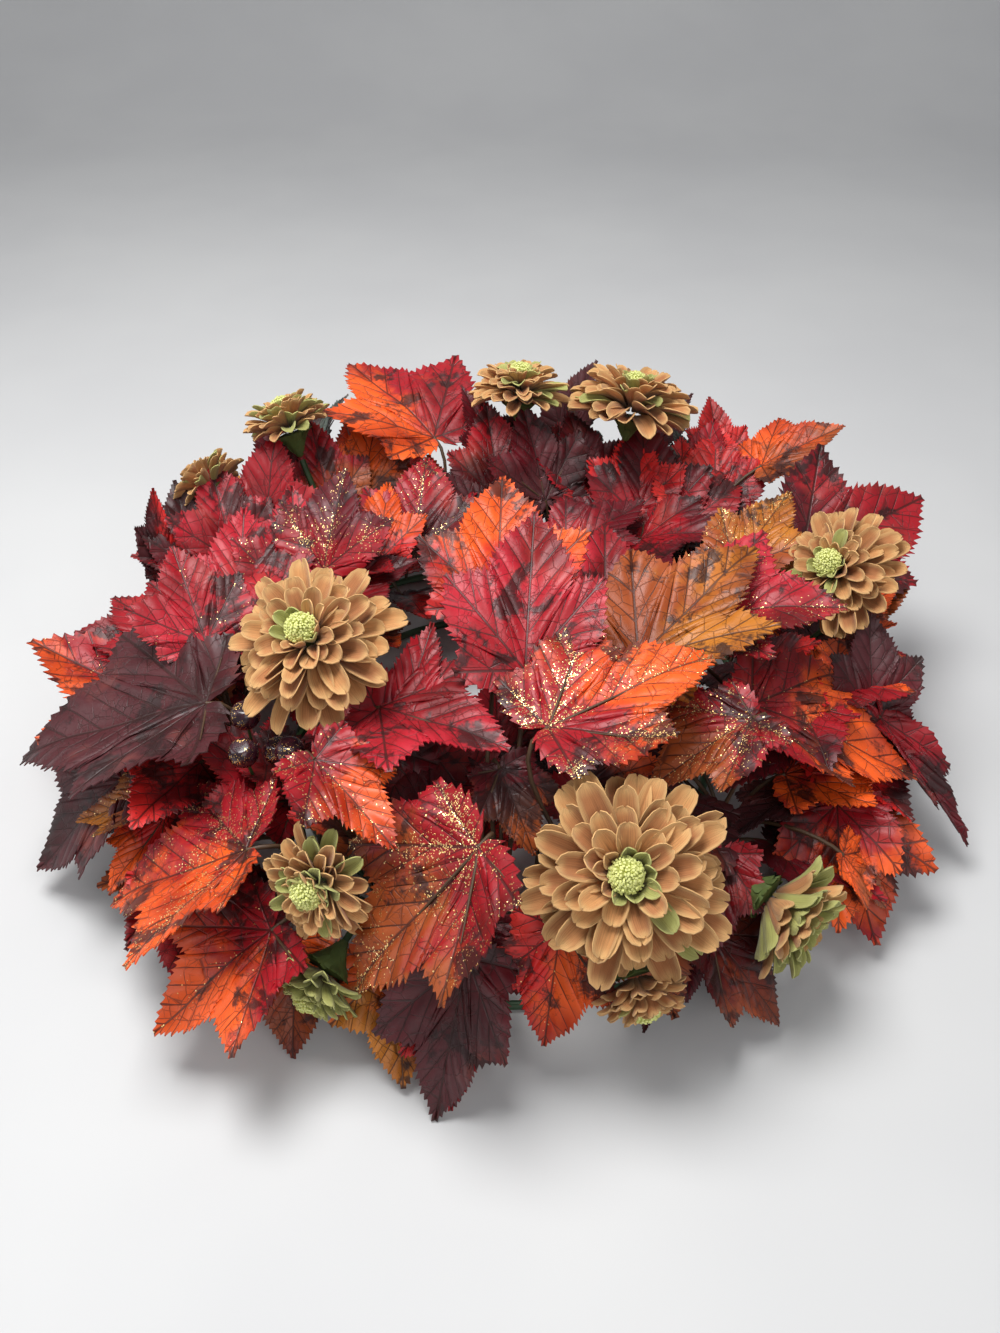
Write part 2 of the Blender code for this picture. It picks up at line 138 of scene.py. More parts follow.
# Leaves: where the stalk leaves the ring, where the blade starts (turn, out, up), where it points
# (compass from outwards, lift above level), roll, blade length, width as a share of a full blade's
# and curl of the tip, all as the frame has them. Then its print: first colour, second colour, the
# side of the blade that the second one is on (degrees from the tip), and glitter from 0 to 1.
LEAVES = {
    "maple_leaf_01": (186, 191, 0.024, 0.055, -31, 22, 0, 0.112, 1.0, 0.06, "crimson", "orange", 90, 0.12),
    "maple_leaf_02": (194, 192, 0.006, 0.118, -76, 36, 0, 0.064, 1.0, 0.10, "rose", "crimson", 0, 0.05),
    "maple_leaf_03": (208, 208, 0.014, 0.116, -27, -14, 0, 0.116, 1.0, 0.12, "plum", "plum", 0, 0.0),
    "maple_leaf_04": (202, 204, 0.066, 0.068, 0, -38, 0, 0.076, 1.0, 0.05, "burgundy", "plum", 0, 0.0),
    "maple_leaf_05": (238, 234, 0.046, 0.098, -60, -28, 0, 0.094, 1.0, 0.10, "crimson", "orange", 75, 0.75),
    "maple_leaf_06": (242, 240, 0.060, 0.066, -30, -25, 0, 0.076, 1.05, 0.08, "orange", "crimson", 180, 0.05),
    "maple_leaf_07": (256, 266, 0.054, 0.078, -18, -58, 0, 0.088, 0.66, 0.05, "burgundy", "plum", 0, 0.0),
    "maple_leaf_08": (261, 267, 0.028, 0.126, -59, -40, 0, 0.094, 1.0, 0.10, "rust", "crimson", 180, 1.0),
    "maple_leaf_09": (277, 278, 0.042, 0.082, -22, -56, 0, 0.062, 0.9, 0.08, "scarlet", "orange", 80, 0.04),
    "maple_leaf_10": (246, 239, 0.008, 0.138, 74, -8, 0, 0.062, 0.80, 0.10, "crimson", "orange", 10, 0.5),
    "maple_leaf_11": (233, 239, -0.044, 0.131, 90, 14, 0, 0.078, 1.0, 0.12, "crimson", "rose", 0, 0.0),
    "maple_leaf_12": (271, 278, -0.072, 0.146, 168, 30, 0, 0.096, 0.85, 0.08, "rose", "crimson", 180, 0.0),
    "maple_leaf_13": (266, 268, -0.122, 0.148, 180, 28, 0, 0.090, 0.9, 0.10, "orange", "scarlet", 180, 0.0),
    "maple_leaf_14": (321, 316, -0.062, 0.136, 88, 20, 0, 0.102, 0.85, 0.12, "rust", "ochre", -70, 0.0),
    "maple_leaf_15": (350, 344, -0.056, 0.134, 5, 18, 0, 0.086, 1.1, 0.10, "crimson", "rose", 90, 0.7),
    "maple_leaf_16": (287, 280, -0.030, 0.145, 103, 16, 0, 0.092, 1.0, 0.12, "crimson", "orange", 0, 1.0),
    "maple_leaf_17": (313, 318, 0.007, 0.134, -113, -18, 0, 0.064, 0.9, 0.10, "rust", "crimson", 180, 0.7),
    "maple_leaf_18": (334, 332, -0.008, 0.106, 17, -17, 0, 0.104, 0.88, 0.08, "orange", "crimson", 180, 0.06),
    "maple_leaf_19": (342, 346, 0.062, 0.078, -28, -36, 0, 0.090, 0.35, 0.05, "crimson", "burgundy", 0, 0.0),
    "maple_leaf_20": (20, 20, 0.044, 0.098, 6, 16, 30, 0.104, 1.0, 0.12, "crimson", "burgundy", 180, 0.0),
    "maple_leaf_21": (44, 42, 0.084, 0.114, -32, 28, 0, 0.062, 1.0, 0.05, "rust", "orange", 90, 0.0),
    "maple_leaf_22": (107, 104, 0.030, 0.124, 28, 18, 0, 0.102, 1.0, 0.10, "crimson", "orange", 90, 0.0),
    "maple_leaf_23": (154, 154, -0.040, 0.104, -78, 46, 0, 0.068, 1.0, 0.10, "crimson", "burgundy", 0, 0.6),
    "maple_leaf_24": (318, 331, 0.052, 0.054, -48, -28, 0, 0.074, 1.0, 0.08, "crimson", "orange", 90, 0.0),
}

# Leaves between the frame's own ones, in the same columns.
SPRAY_LEAVES = (
    (212, 212, 0.052, 0.075, -35, -18, 0, 0.055, 0.75, 0.08, "rust", "ochre", 0, 0.5),
    (212, 212, 0.052, 0.060, 22, -22, 0, 0.050, 0.7, 0.08, "scarlet", "orange", 0, 0.0),
    (240, 240, 0.045, 0.040, 30, -34, 0, 0.058, 0.9, 0.08, "orange", "rust", 0, 0.0),
    (255, 255, 0.036, 0.045, 20, -32, 0, 0.064, 0.9, 0.08, "orange", "ochre", 0, 0.0),
    (264, 264, 0.050, 0.042, 4, -38, 0, 0.056, 0.8, 0.05, "scarlet", "crimson", 0, 0.0),
    (300, 322, -0.090, 0.110, 125, 23, 0, 0.100, 0.8, 0.08, "scarlet", "rose", 0, 0.0),
    (13, 13, -0.017, 0.120, 39, 26, 0, 0.068, 0.9, 0.10, "rust", "ochre", 0, 0.6),
    (341, 341, 0.015, 0.095, -111, 0, 0, 0.080, 0.9, 0.12, "crimson", "burgundy", 0, 0.1),
    (346, 346, 0.055, 0.080, 98, 51, 20, 0.060, 0.9, 0.12, "burgundy", "plum", 0, 0.0),
    (10, 12, 0.070, 0.070, 48, 36, 0, 0.062, 0.8, 0.10, "rust", "orange", 90, 0.0),
    (9, 9, 0.070, 0.045, -20, 12, 0, 0.044, 0.8, 0.10, "scarlet", "crimson", 0, 0.0),
    (42, 44, 0.045, 0.090, 40, 34, 0, 0.072, 0.9, 0.10, "crimson", "scarlet", 0, 0.0),
    (52, 52, 0.007, 0.080, 42, 44, 0, 0.085, 0.9, 0.10, "crimson", "burgundy", 0, 0.0),
    (48, 48, 0.030, 0.080, 41, 43, 0, 0.066, 0.9, 0.10, "scarlet", "crimson", 180, 0.0),
    (120, 120, 0.019, 0.090, -8, 36, 0, 0.066, 1.0, 0.10, "rust", "orange", 0, 0.0),
    (125, 125, -0.066, 0.100, -41, 29, 0, 0.075, 1.0, 0.10, "burgundy", "crimson", 0, 0.5),
    (139, 139, -0.060, 0.100, -53, 28, 0, 0.063, 0.8, 0.10, "scarlet", "orange", 0, 0.0),
    (159, 159, 0.077, 0.080, -62, 70, 0, 0.056, 0.5, 0.06, "scarlet", "plum", 90, 0.0),
    (172, 172, 0.001, 0.085, -79, 31, 0, 0.085, 0.9, 0.10, "rose", "crimson", 180, 0.0),
    (162, 162, -0.031, 0.090, -64, 38, 0, 0.080, 0.9, 0.10, "crimson", "rose", 0, 0.1),
    (300, 300, 0.050, 0.052, 26, -42, 0, 0.062, 0.9, 0.06, "burgundy", "rust", 0, 0.0),
    (299, 299, 0.034, 0.050, -30, -42, 0, 0.044, 0.8, 0.06, "crimson", "burgundy", 0, 0.0),
    (293, 293, 0.045, 0.034, -43, -34, 0, 0.034, 0.5, 0.06, "plum", "burgundy", 0, 0.0),
    (306, 306, 0.028, 0.078, -50, -33, 0, 0.055, 0.8, 0.08, "crimson", "burgundy", 0, 0.0),
    (190, 186, 0.012, 0.090, -45, 10, 0, 0.087, 0.9, 0.10, "crimson", "rose", 180, 0.0),
    (190, 189, -0.018, 0.110, -60, 7, 0, 0.082, 0.9, 0.10, "rose", "crimson", 0, 0.0),
    (270, 270, -0.030, 0.118, 27, -30, 0, 0.046, 0.9, 0.10, "rust", "burgundy", 180, 0.0),
    (240, 246, -0.033, 0.118, -171, 30, 0, 0.074, 0.7, 0.10, "burgundy", "crimson", 0, 0.0),
    (237, 237, -0.075, 0.092, 23, -3, 0, 0.078, 0.9, 0.12, "crimson", "burgundy", 0, 0.0),
    (157, 157, -0.055, 0.092, -137, 23, 0, 0.055, 0.9, 0.10, "crimson", "burgundy", 0, 0.0),
    (303, 303, 0.036, 0.062, -55, -23, 0, 0.038, 0.6, 0.12, "felt", "felt", 0, 0.0),
    (71, 71, 0.041, 0.110, 40, 15, 0, 0.038, 0.6, 0.12, "felt", "felt", 0, 0.0),
    (52, 52, 0.060, 0.105, 60, 33, 0, 0.036, 0.6, 0.12, "felt", "felt", 0, 0.0),
    (330, 330, 0.029, 0.060, -125, 0, 30, 0.055, 0.8, 0.30, "plum", "plum", 0, 0.0),
    (322, 322, 0.066, 0.060, 20, -45, 0, 0.044, 0.9, 0.06, "orange", "rust", 0, 0.0),
    (330, 330, 0.050, 0.062, -66, -24, 0, 0.070, 0.9, 0.08, "crimson", "orange", 0, 0.0),
    (222, 222, 0.062, 0.052, 60, -20, 0, 0.062, 0.9, 0.08, "scarlet", "crimson", 0, 0.0),
    (222, 222, 0.062, 0.050, 18, -6, 0, 0.044, 0.9, 0.08, "crimson", "burgundy", 0, 0.0),
    (65, 65, -0.060, 0.090, -28, 18, 0, 0.070, 0.9, 0.10, "crimson", "burgundy", 0, 0.0),
    (90, 90, -0.042, 0.082, 64, 50, 0, 0.060, 0.9, 0.10, "burgundy", "plum", 0, 0.0),
    (76, 76, 0.012, 0.085, 13, 41, 0, 0.060, 0.9, 0.10, "burgundy", "crimson", 0, 0.0),
    (90, 90, -0.014, 0.095, 11, 50, 0, 0.072, 0.9, 0.10, "burgundy", "crimson", 0, 0.0),
    (78, 78, -0.010, 0.095, 35, 58, 0, 0.070, 0.9, 0.10, "plum", "burgundy", 0, 0.0),
    (89, 89, 0.019, 0.100, 41, 50, 0, 0.066, 0.8, 0.10, "crimson", "burgundy", 0, 0.0),
    (78, 78, 0.058, 0.105, -32, 61, 0, 0.063, 0.7, 0.10, "plum", "plum", 0, 0.0),
    (68, 68, 0.012, 0.092, 44, 50, 0, 0.064, 0.9, 0.10, "crimson", "burgundy", 0, 0.0),
    (56, 56, 0.006, 0.092, 32, 38, 0, 0.066, 0.9, 0.10, "crimson", "scarlet", 0, 0.0),
    (50, 50, 0.056, 0.090, 20, 50, 0, 0.056, 0.9, 0.10, "crimson", "crimson", 0, 0.0),
    (63, 63, 0.088, 0.095, -27, 48, 0, 0.050, 0.7, 0.10, "burgundy", "plum", 0, 0.0),
    (50, 50, 0.086, 0.095, 49, 50, 0, 0.056, 0.8, 0.10, "crimson", "scarlet", 0, 0.0),
    (132, 132, 0.040, 0.086, 0, 44, 0, 0.070, 0.9, 0.10, "crimson", "burgundy", 0, 0.0),
    (129, 129, 0.026, 0.090, -20, 50, 0, 0.066, 0.9, 0.10, "rust", "crimson", 0, 0.0),
    (122, 122, 0.022, 0.092, -45, 46, 0, 0.066, 0.9, 0.10, "rust", "orange", 0, 0.0),
    (125, 125, 0.078, 0.100, -106, 61, 0, 0.057, 0.6, 0.10, "plum", "felt", 0, 0.0),
    (153, 153, 0.036, 0.085, -43, 46, 0, 0.074, 0.9, 0.10, "crimson", "rose", 0, 0.0),
    (157, 157, 0.055, 0.080, -45, 46, 0, 0.066, 0.8, 0.10, "burgundy", "plum", 0, 0.0),
    (146, 146, 0.030, 0.090, -65, 50, 0, 0.074, 0.9, 0.10, "crimson", "crimson", 0, 0.0),
    (142, 142, 0.078, 0.085, -17, 30, 0, 0.050, 0.7, 0.10, "rust", "ochre", 0, 0.0),
    (270, 270, -0.068, 0.085, -176, 33, 0, 0.052, 0.9, 0.10, "burgundy", "crimson", 0, 0.0),
    (276, 276, -0.062, 0.080, -136, 29, 0, 0.048, 0.9, 0.10, "crimson", "burgundy", 0, 0.0),
    (261, 261, -0.064, 0.080, 130, 25, 0, 0.044, 0.9, 0.10, "plum", "burgundy", 0, 0.0),
    (294, 294, -0.032, 0.080, -139, 12, 0, 0.056, 0.9, 0.10, "burgundy", "plum", 0, 0.0),
)
SPRAY_COUNT = 8

# Rows of leaves low in the wreath: how many, where their blades start (out, up), the compass and
# lift of their blades with the spread of each, and length.
UNDER_ROWS = (
    (20, 0.034, 0.040, 0, 28, -8, 8, 0.070),
    (16, 0.022, 0.066, 12, 60, 8, 14, 0.074),
    (16, -0.010, 0.078, 0, 150, 26, 14, 0.070),
    (13, -0.040, 0.050, 180, 40, 24, 14, 0.060),
    (10, -0.044, 0.082, 170, 50, 34, 12, 0.058),
    (22, 0.030, 0.084, 0, 45, 12, 12, 0.066),
    (24, 0.024, 0.024, 0, 30, 0, 6, 0.062),
    (26, 0.016, 0.046, 0, 35, 48, 10, 0.056),
)
UNDER_PRINTS = ("crimson", "crimson", "crimson", "burgundy", "burgundy", "plum", "scarlet", "orange", "rust")
UNDER_CURL = 0.10
UNDER_GRAIN = 2  # rows of mesh to each tooth
UNDER_SEED = 71

# The first rows make the edge, which hangs steeper at the front: the turns where it does, and the
# change there (out, up, lift and share of the length).
EDGE_ROWS = 2
FRONT_TURNS = (238, 312)
FRONT_CHANGE = (-0.014, 0.022, -26, 0.80)

# The last rows fill the back, and are left out between these turns.
FILLER_ROWS = 3
SHOWN_TURNS = (198, 342)

# Low leaves keep out of the flowers: from behind a flower's neck to in front of it, and past its
# petals.
FLOWER_ROOM = (-0.004, 0.050, 0.012)

# Where the hanging loop swings: its turn, the room on each side of it, and the height it reaches.
LOOP_TURN = 90
LOOP_ROOM = 13
LOOP_TOP = 0.050

# One lobe: turn from the rib, reach, teeth along each side, side veins along each side.
LOBES = ((98, 0.46, 6, 3), (46, 0.76, 9, 4), (0, 1.0, 13, 6), (-46, 0.76, 9, 4), (-98, 0.46, 6, 3))
# The notches before, between and after the lobes: turn from the rib, and reach.
NOTCHES = ((162, 0.08), (74, 0.37), (25, 0.50), (-25, 0.50), (-74, 0.37), (-162, 0.08))

# Layers of a flower, from the outermost: petals, where they start (out and up), the petal's lift at
# its start and at its tip, length and width. Lengths are shares of the flower's radius.
PETAL_LAYERS = (
    (17, 0.17, 0.02, 4, -14, 0.86, 0.275),
    (17, 0.16, 0.09, 16, -4, 0.86, 0.270),
    (15, 0.15, 0.16, 28, 6, 0.78, 0.260),
    (13, 0.14, 0.23, 40, 14, 0.64, 0.245),
    (11, 0.14, 0.30, 50, 22, 0.48, 0.220),
    (9, 0.15, 0.35, 64, 54, 0.32, 0.160),
)

# A petal's width as a share of its widest, at its claw and tip, and how far along it is widest.
PETAL_CLAW = 0.18
PETAL_TIP = 0.14
PETAL_WIDEST = 0.60

# Degrees above which an edge stays sharp, and how near two points are welded.
CREASE = 60
WELD_DISTANCE = 2e-5

# The camera: how far it tilts down, how far it stands from its aim, that point's height, and its lens.
CAMERA_TILT = 40.6
CAMERA_REACH = 0.70
CAMERA_AIM = 0.07
CAMERA_LENS = 30.46
CAMERA_SENSOR = 36.0

# Lamps: place, width of the softbox, and power as a share of the lamp power.
LAMP_AIM = (0, 0, 0.08)
LAMPS = {
    "lamp_overhead": ((-0.25, 0.02, 1.25), 0.6, 1.0),
    "lamp_front": ((0.5, -1.3, 1.1), 0.9, 0.35),
    "lamp_left": ((-1.4, -0.2, 0.8), 0.8, 0.25),
}
SKY_STRENGTH = 0.34
FLOOR_SIZE = (6.0, 4.4, 1.0)
BACKDROP_HEIGHT = 2.6
BACKDROP_BEND = 0.9


class WreathSizes(bpy.types.PropertyGroup):
    """Sizes of the finished pieces"""

    sheet: FloatProperty(
        name="Leaf sheet", description="Thickness of a leaf", default=0.0006, unit="LENGTH"
    )
    tooth: FloatProperty(
        name="Tooth", description="A leaf's tooth, as a share of its length", default=0.036, subtype="FACTOR"
    )
    pleat: FloatProperty(
        name="Pleat",
        description="Rise between side veins, as a share of the leaf's length",
        default=0.014,
        subtype="FACTOR",
    )
    grain: IntProperty(name="Grain", description="Rows of mesh to each tooth", default=4, min=2)
    petal_sheet: FloatProperty(
        name="Petal sheet", description="Thickness of a petal", default=0.0005, unit="LENGTH"
    )
    cup: FloatProperty(
        name="Petal cup", description="How far a petal's edges rise", default=0.60, subtype="FACTOR"
    )
    florets: IntProperty(name="Florets", description="Tufts of flock on a button", default=190, min=20)
    lamp_power: FloatProperty(
        name="Lamp power", description="Softbox over the wreath", default=17.0, unit="POWER"
    )


def colour(name, description, linear):
    return FloatVectorProperty(name=name, description=description, default=linear, subtype="COLOR")


class WreathColours(bpy.types.PropertyGroup):
    """Colours of the finishes"""

    crimson: colour("Crimson", "Crimson print", (0.34, 0.006, 0.013))
    rose: colour("Rose", "Pink crimson print", (0.48, 0.014, 0.028))
    scarlet: colour("Scarlet", "Bright red print", (0.66, 0.020, 0.018))
    orange: colour("Orange", "Orange print", (0.86, 0.110, 0.012))
    rust: colour("Rust", "Rust print", (0.34, 0.070, 0.014))
    ochre: colour("Ochre", "Ochre print", (0.50, 0.165, 0.015))
    burgundy: colour("Burgundy", "Dark red print", (0.115, 0.004, 0.009))
    plum: colour("Plum", "Plum print", (0.075, 0.014, 0.017))
    felt: colour("Felt", "Grey green leaf", (0.10, 0.13, 0.11))
    petal: colour("Petal", "Tan petal", (0.62, 0.300, 0.108))
    petal_edge: colour("Petal edge", "A tan petal's rim", (0.72, 0.45, 0.185))
    green_petal: colour("Green petal", "Green petal", (0.38, 0.38, 0.11))
    button: colour("Button", "Flocked button", (0.52, 0.48, 0.015))
    calyx: colour("Calyx", "Calyx green", (0.10, 0.14, 0.035))
    stem: colour("Stem", "Stem green", (0.035, 0.075, 0.022))
    berry: colour("Berry", "Berry skin", (0.016, 0.004, 0.008))
    gold: colour("Gold", "Glitter", (1.0, 0.62, 0.20))


def sizes():
    return bpy.context.scene.wreath_sizes


def colour_of(name):
    return (*getattr(bpy.context.scene.wreath_colours, name), 1.0)


# Places


def on_ring(turn, out, up):
    """The point at a turn (degrees) round the ring, out from its middle and up from the back."""
    radius = RING_RADIUS + out
    angle = math.radians(turn)
    return Vector((radius * math.cos(angle), radius * math.sin(angle), up))


def facing(turn, compass, lift):
    """The unit direction at a compass angle from outwards, and a lift above level, at a turn."""
    plan = math.radians(turn + compass)
    level = math.cos(math.radians(lift))
    return Vector((level * math.cos(plan), level * math.sin(plan), math.sin(math.radians(lift))))


def blade_frame(origin, along, roll):
    """A frame with X along the blade's rib and Z out of its printed face."""
    across = Vector((0, 0, 1)).cross(along).normalized()
    across.rotate(Matrix.Rotation(math.radians(roll), 3, along))
    placed = Matrix((along, across, along.cross(across))).transposed().to_4x4()
    placed.translation = origin
    return placed


def axis_frame(origin, axis):
    """A frame whose Z runs along an axis."""
    placed = axis.to_track_quat("Z", "Y").to_matrix().to_4x4()
    placed.translation = origin
    return placed


def neck_of(turn, out, up, compass, lift, radius):
    """A flower's neck and the direction it faces, from its petals' place."""
    axis = facing(turn, compass, lift)
    return on_ring(turn, out, up) - axis * (CALYX_HEIGHT + 0.2 * radius), axis


def bezier(start, first, second, end, count):
    """Points along a cubic curve."""
    points = []
    for step in range(count + 1):
        t = step / count
        s = 1 - t
        points.append(s**3 * start + 3 * s * s * t * first + 3 * s * t * t * second + t**3 * end)
    return points


# Mesh helpers


def deselect():
    bpy.ops.object.select_all(action="DESELECT")


def only(obj):
    """Selects one object and makes it active."""
    deselect()
    obj.select_set(True)
    bpy.context.view_layer.objects.active = obj
    return obj


def finish_modifier(obj, kind, **settings):
    """Adds a modifier and applies it."""
    only(obj)
    modifier = obj.modifiers.new(kind.lower(), kind)
    for setting, value in settings.items():
        setattr(modifier, setting, value)
    bpy.ops.object.modifier_apply(modifier=modifier.name)


def smooth(obj):
    """Shades the faces smooth, and keeps edges sharper than the crease sharp."""
    only(obj)
    bpy.ops.object.shade_smooth_by_angle(angle=math.radians(CREASE))


def joined(name, objs):
    """Joins objects into the first of them."""
    deselect()
    for obj in objs:
        obj.select_set(True)
    bpy.context.view_layer.objects.active = objs[0]
    if len(objs) > 1:
        bpy.ops.object.join()
    objs[0].name = name
    objs[0].data.name = name
    return objs[0]


def settle(obj):
    """Moves the object's place into its mesh."""
    only(obj)
    bpy.ops.object.transform_apply(location=True, rotation=True, scale=True)
    return obj


def coordinates(mesh):
    points = np.empty(len(mesh.vertices) * 3)
    mesh.vertices.foreach_get("co", points)
    return points.reshape(-1, 3)


def place_points(mesh, points):
    mesh.vertices.foreach_set("co", np.ascontiguousarray(points, np.float32).ravel())
    mesh.update()


def note(mesh, name, values):
    """Stores a number or a vector at each point, for the material to read."""
    values = np.ascontiguousarray(values, np.float32)
    kind, field = ("FLOAT", "value") if values.ndim == 1 else ("FLOAT_VECTOR", "vector")
    attribute = mesh.attributes.get(name) or mesh.attributes.new(name, kind, "POINT")
    attribute.data.foreach_set(field, values.ravel())


def blank_grid(rows, columns):
    """A flat grid one metre square, to be shaped into a blade or a petal."""
    deselect()
    bpy.ops.mesh.primitive_grid_add(x_subdivisions=rows, y_subdivisions=columns, size=1)
    return bpy.context.active_object


def weld(obj):
    """Joins the points that a blank folds onto each other."""
    only(obj)
    bpy.ops.object.mode_set(mode="EDIT")
    bpy.ops.mesh.select_all(action="SELECT")
    bpy.ops.mesh.remove_doubles(threshold=WELD_DISTANCE)
    bpy.ops.object.mode_set(mode="OBJECT")


def wires(name, runs, material, sides=6):
    """Round bars along lists of points, each with its radius at the start and at the end."""
    deselect()
    curve = bpy.data.curves.new(name, "CURVE")
    curve.dimensions = "3D"
    curve.bevel_depth = 1.0
    curve.bevel_resolution = max(0, sides // 2 - 2)
    curve.use_fill_caps = True
    for points, start, end in runs:
        spline = curve.splines.new("POLY")
        spline.points.add(len(points) - 1)
        for index, (point, to) in enumerate(zip(spline.points, points)):
            point.co = (*to, 1.0)
            point.radius = start + (end - start) * index / (len(points) - 1)
    obj = bpy.data.objects.new(name, curve)
    bpy.context.scene.collection.objects.link(obj)
    only(obj)
    bpy.ops.object.convert(target="MESH")
    obj = bpy.context.active_object
    obj.data.materials.clear()
    obj.data.materials.append(material)
    return obj


# Materials


class Nodes:
    """Short words for building a material's nodes."""

    def __init__(self, name, roughness, **constants):
        self.material = bpy.data.materials.new(name)
        self.material.use_nodes = True
        self.tree = self.material.node_tree
        self.shader = self.tree.nodes["Principled BSDF"]
        self.set("Roughness", roughness)
        for socket, value in constants.items():
            self.set(socket.replace("_", " "), value)

    def set(self, socket, value):
        if isinstance(value, bpy.types.NodeSocket):
            self.tree.links.new(value, self.shader.inputs[socket])
        else:
            self.shader.inputs[socket].default_value = value

    def node(self, kind, inputs=(), **settings):
        made = self.tree.nodes.new("ShaderNode" + kind)
        for setting, value in settings.items():
            setattr(made, setting, value)
        for socket, value in dict(inputs).items():
            if isinstance(value, bpy.types.NodeSocket):
                self.tree.links.new(value, made.inputs[socket])
            else:
                made.inputs[socket].default_value = value
        return made

    def noted(self, name, output="Fac"):
        return self.node("Attribute", attribute_name=name).outputs[output]

    def place(self):
        return self.node("TexCoord").outputs["Object"]

    def maths(self, operation, first, second=0.0):
        return self.node("Math", {0: first, 1: second}, operation=operation).outputs[0]

    def plus(self, first, second):
        return self.maths("ADD", first, second)

    def minus(self, first, second):
        return self.maths("SUBTRACT", first, second)

    def times(self, first, second):
        return self.maths("MULTIPLY", first, second)

    def most(self, first, second):
        return self.maths("MAXIMUM", first, second)

    def parts(self, vector):
        return self.node("SeparateXYZ", {0: vector}).outputs

    def scaled(self, vector, scale):
        return self.node("Mapping", {"Vector": vector, "Scale": scale}).outputs[0]

    def cloud(self, vector, scale, detail=3.0, roughness=0.55, distortion=0.0):
        inputs = {
            "Vector": vector,
            "Scale": scale,
            "Detail": detail,
            "Roughness": roughness,
            "Distortion": distortion,
        }
        return self.node("TexNoise", inputs).outputs["Fac"]

    def cells(self, vector, scale, feature="F1", output="Distance", randomness=1.0):
        inputs = {"Vector": vector, "Scale": scale, "Randomness": randomness}
        return self.node("TexVoronoi", inputs, feature=feature).outputs[output]

    def ramp(self, value, low, high):
        """0 below low and 1 above high, or turned round where low is above high."""
        inputs = {"Value": value, "From Min": low, "From Max": high}
        return self.node("MapRange", inputs, interpolation_type="SMOOTHSTEP").outputs[0]

    def mixed(self, share, first, second, blend="MIX"):
        made = self.tree.nodes.new("ShaderNodeMix")
        made.data_type = "RGBA"
        made.blend_type = blend
        for socket, value in ((0, share), (6, first), (7, second)):
            if isinstance(value, bpy.types.NodeSocket):
                self.tree.links.new(value, made.inputs[socket])
            else:
                made.inputs[socket].default_value = value
        return made.outputs[2]

    def bump(self, height, strength, distance):
        inputs = {"Height": height, "Strength": strength, "Distance": distance}
        self.set("Normal", self.node("Bump", inputs).outputs["Normal"])


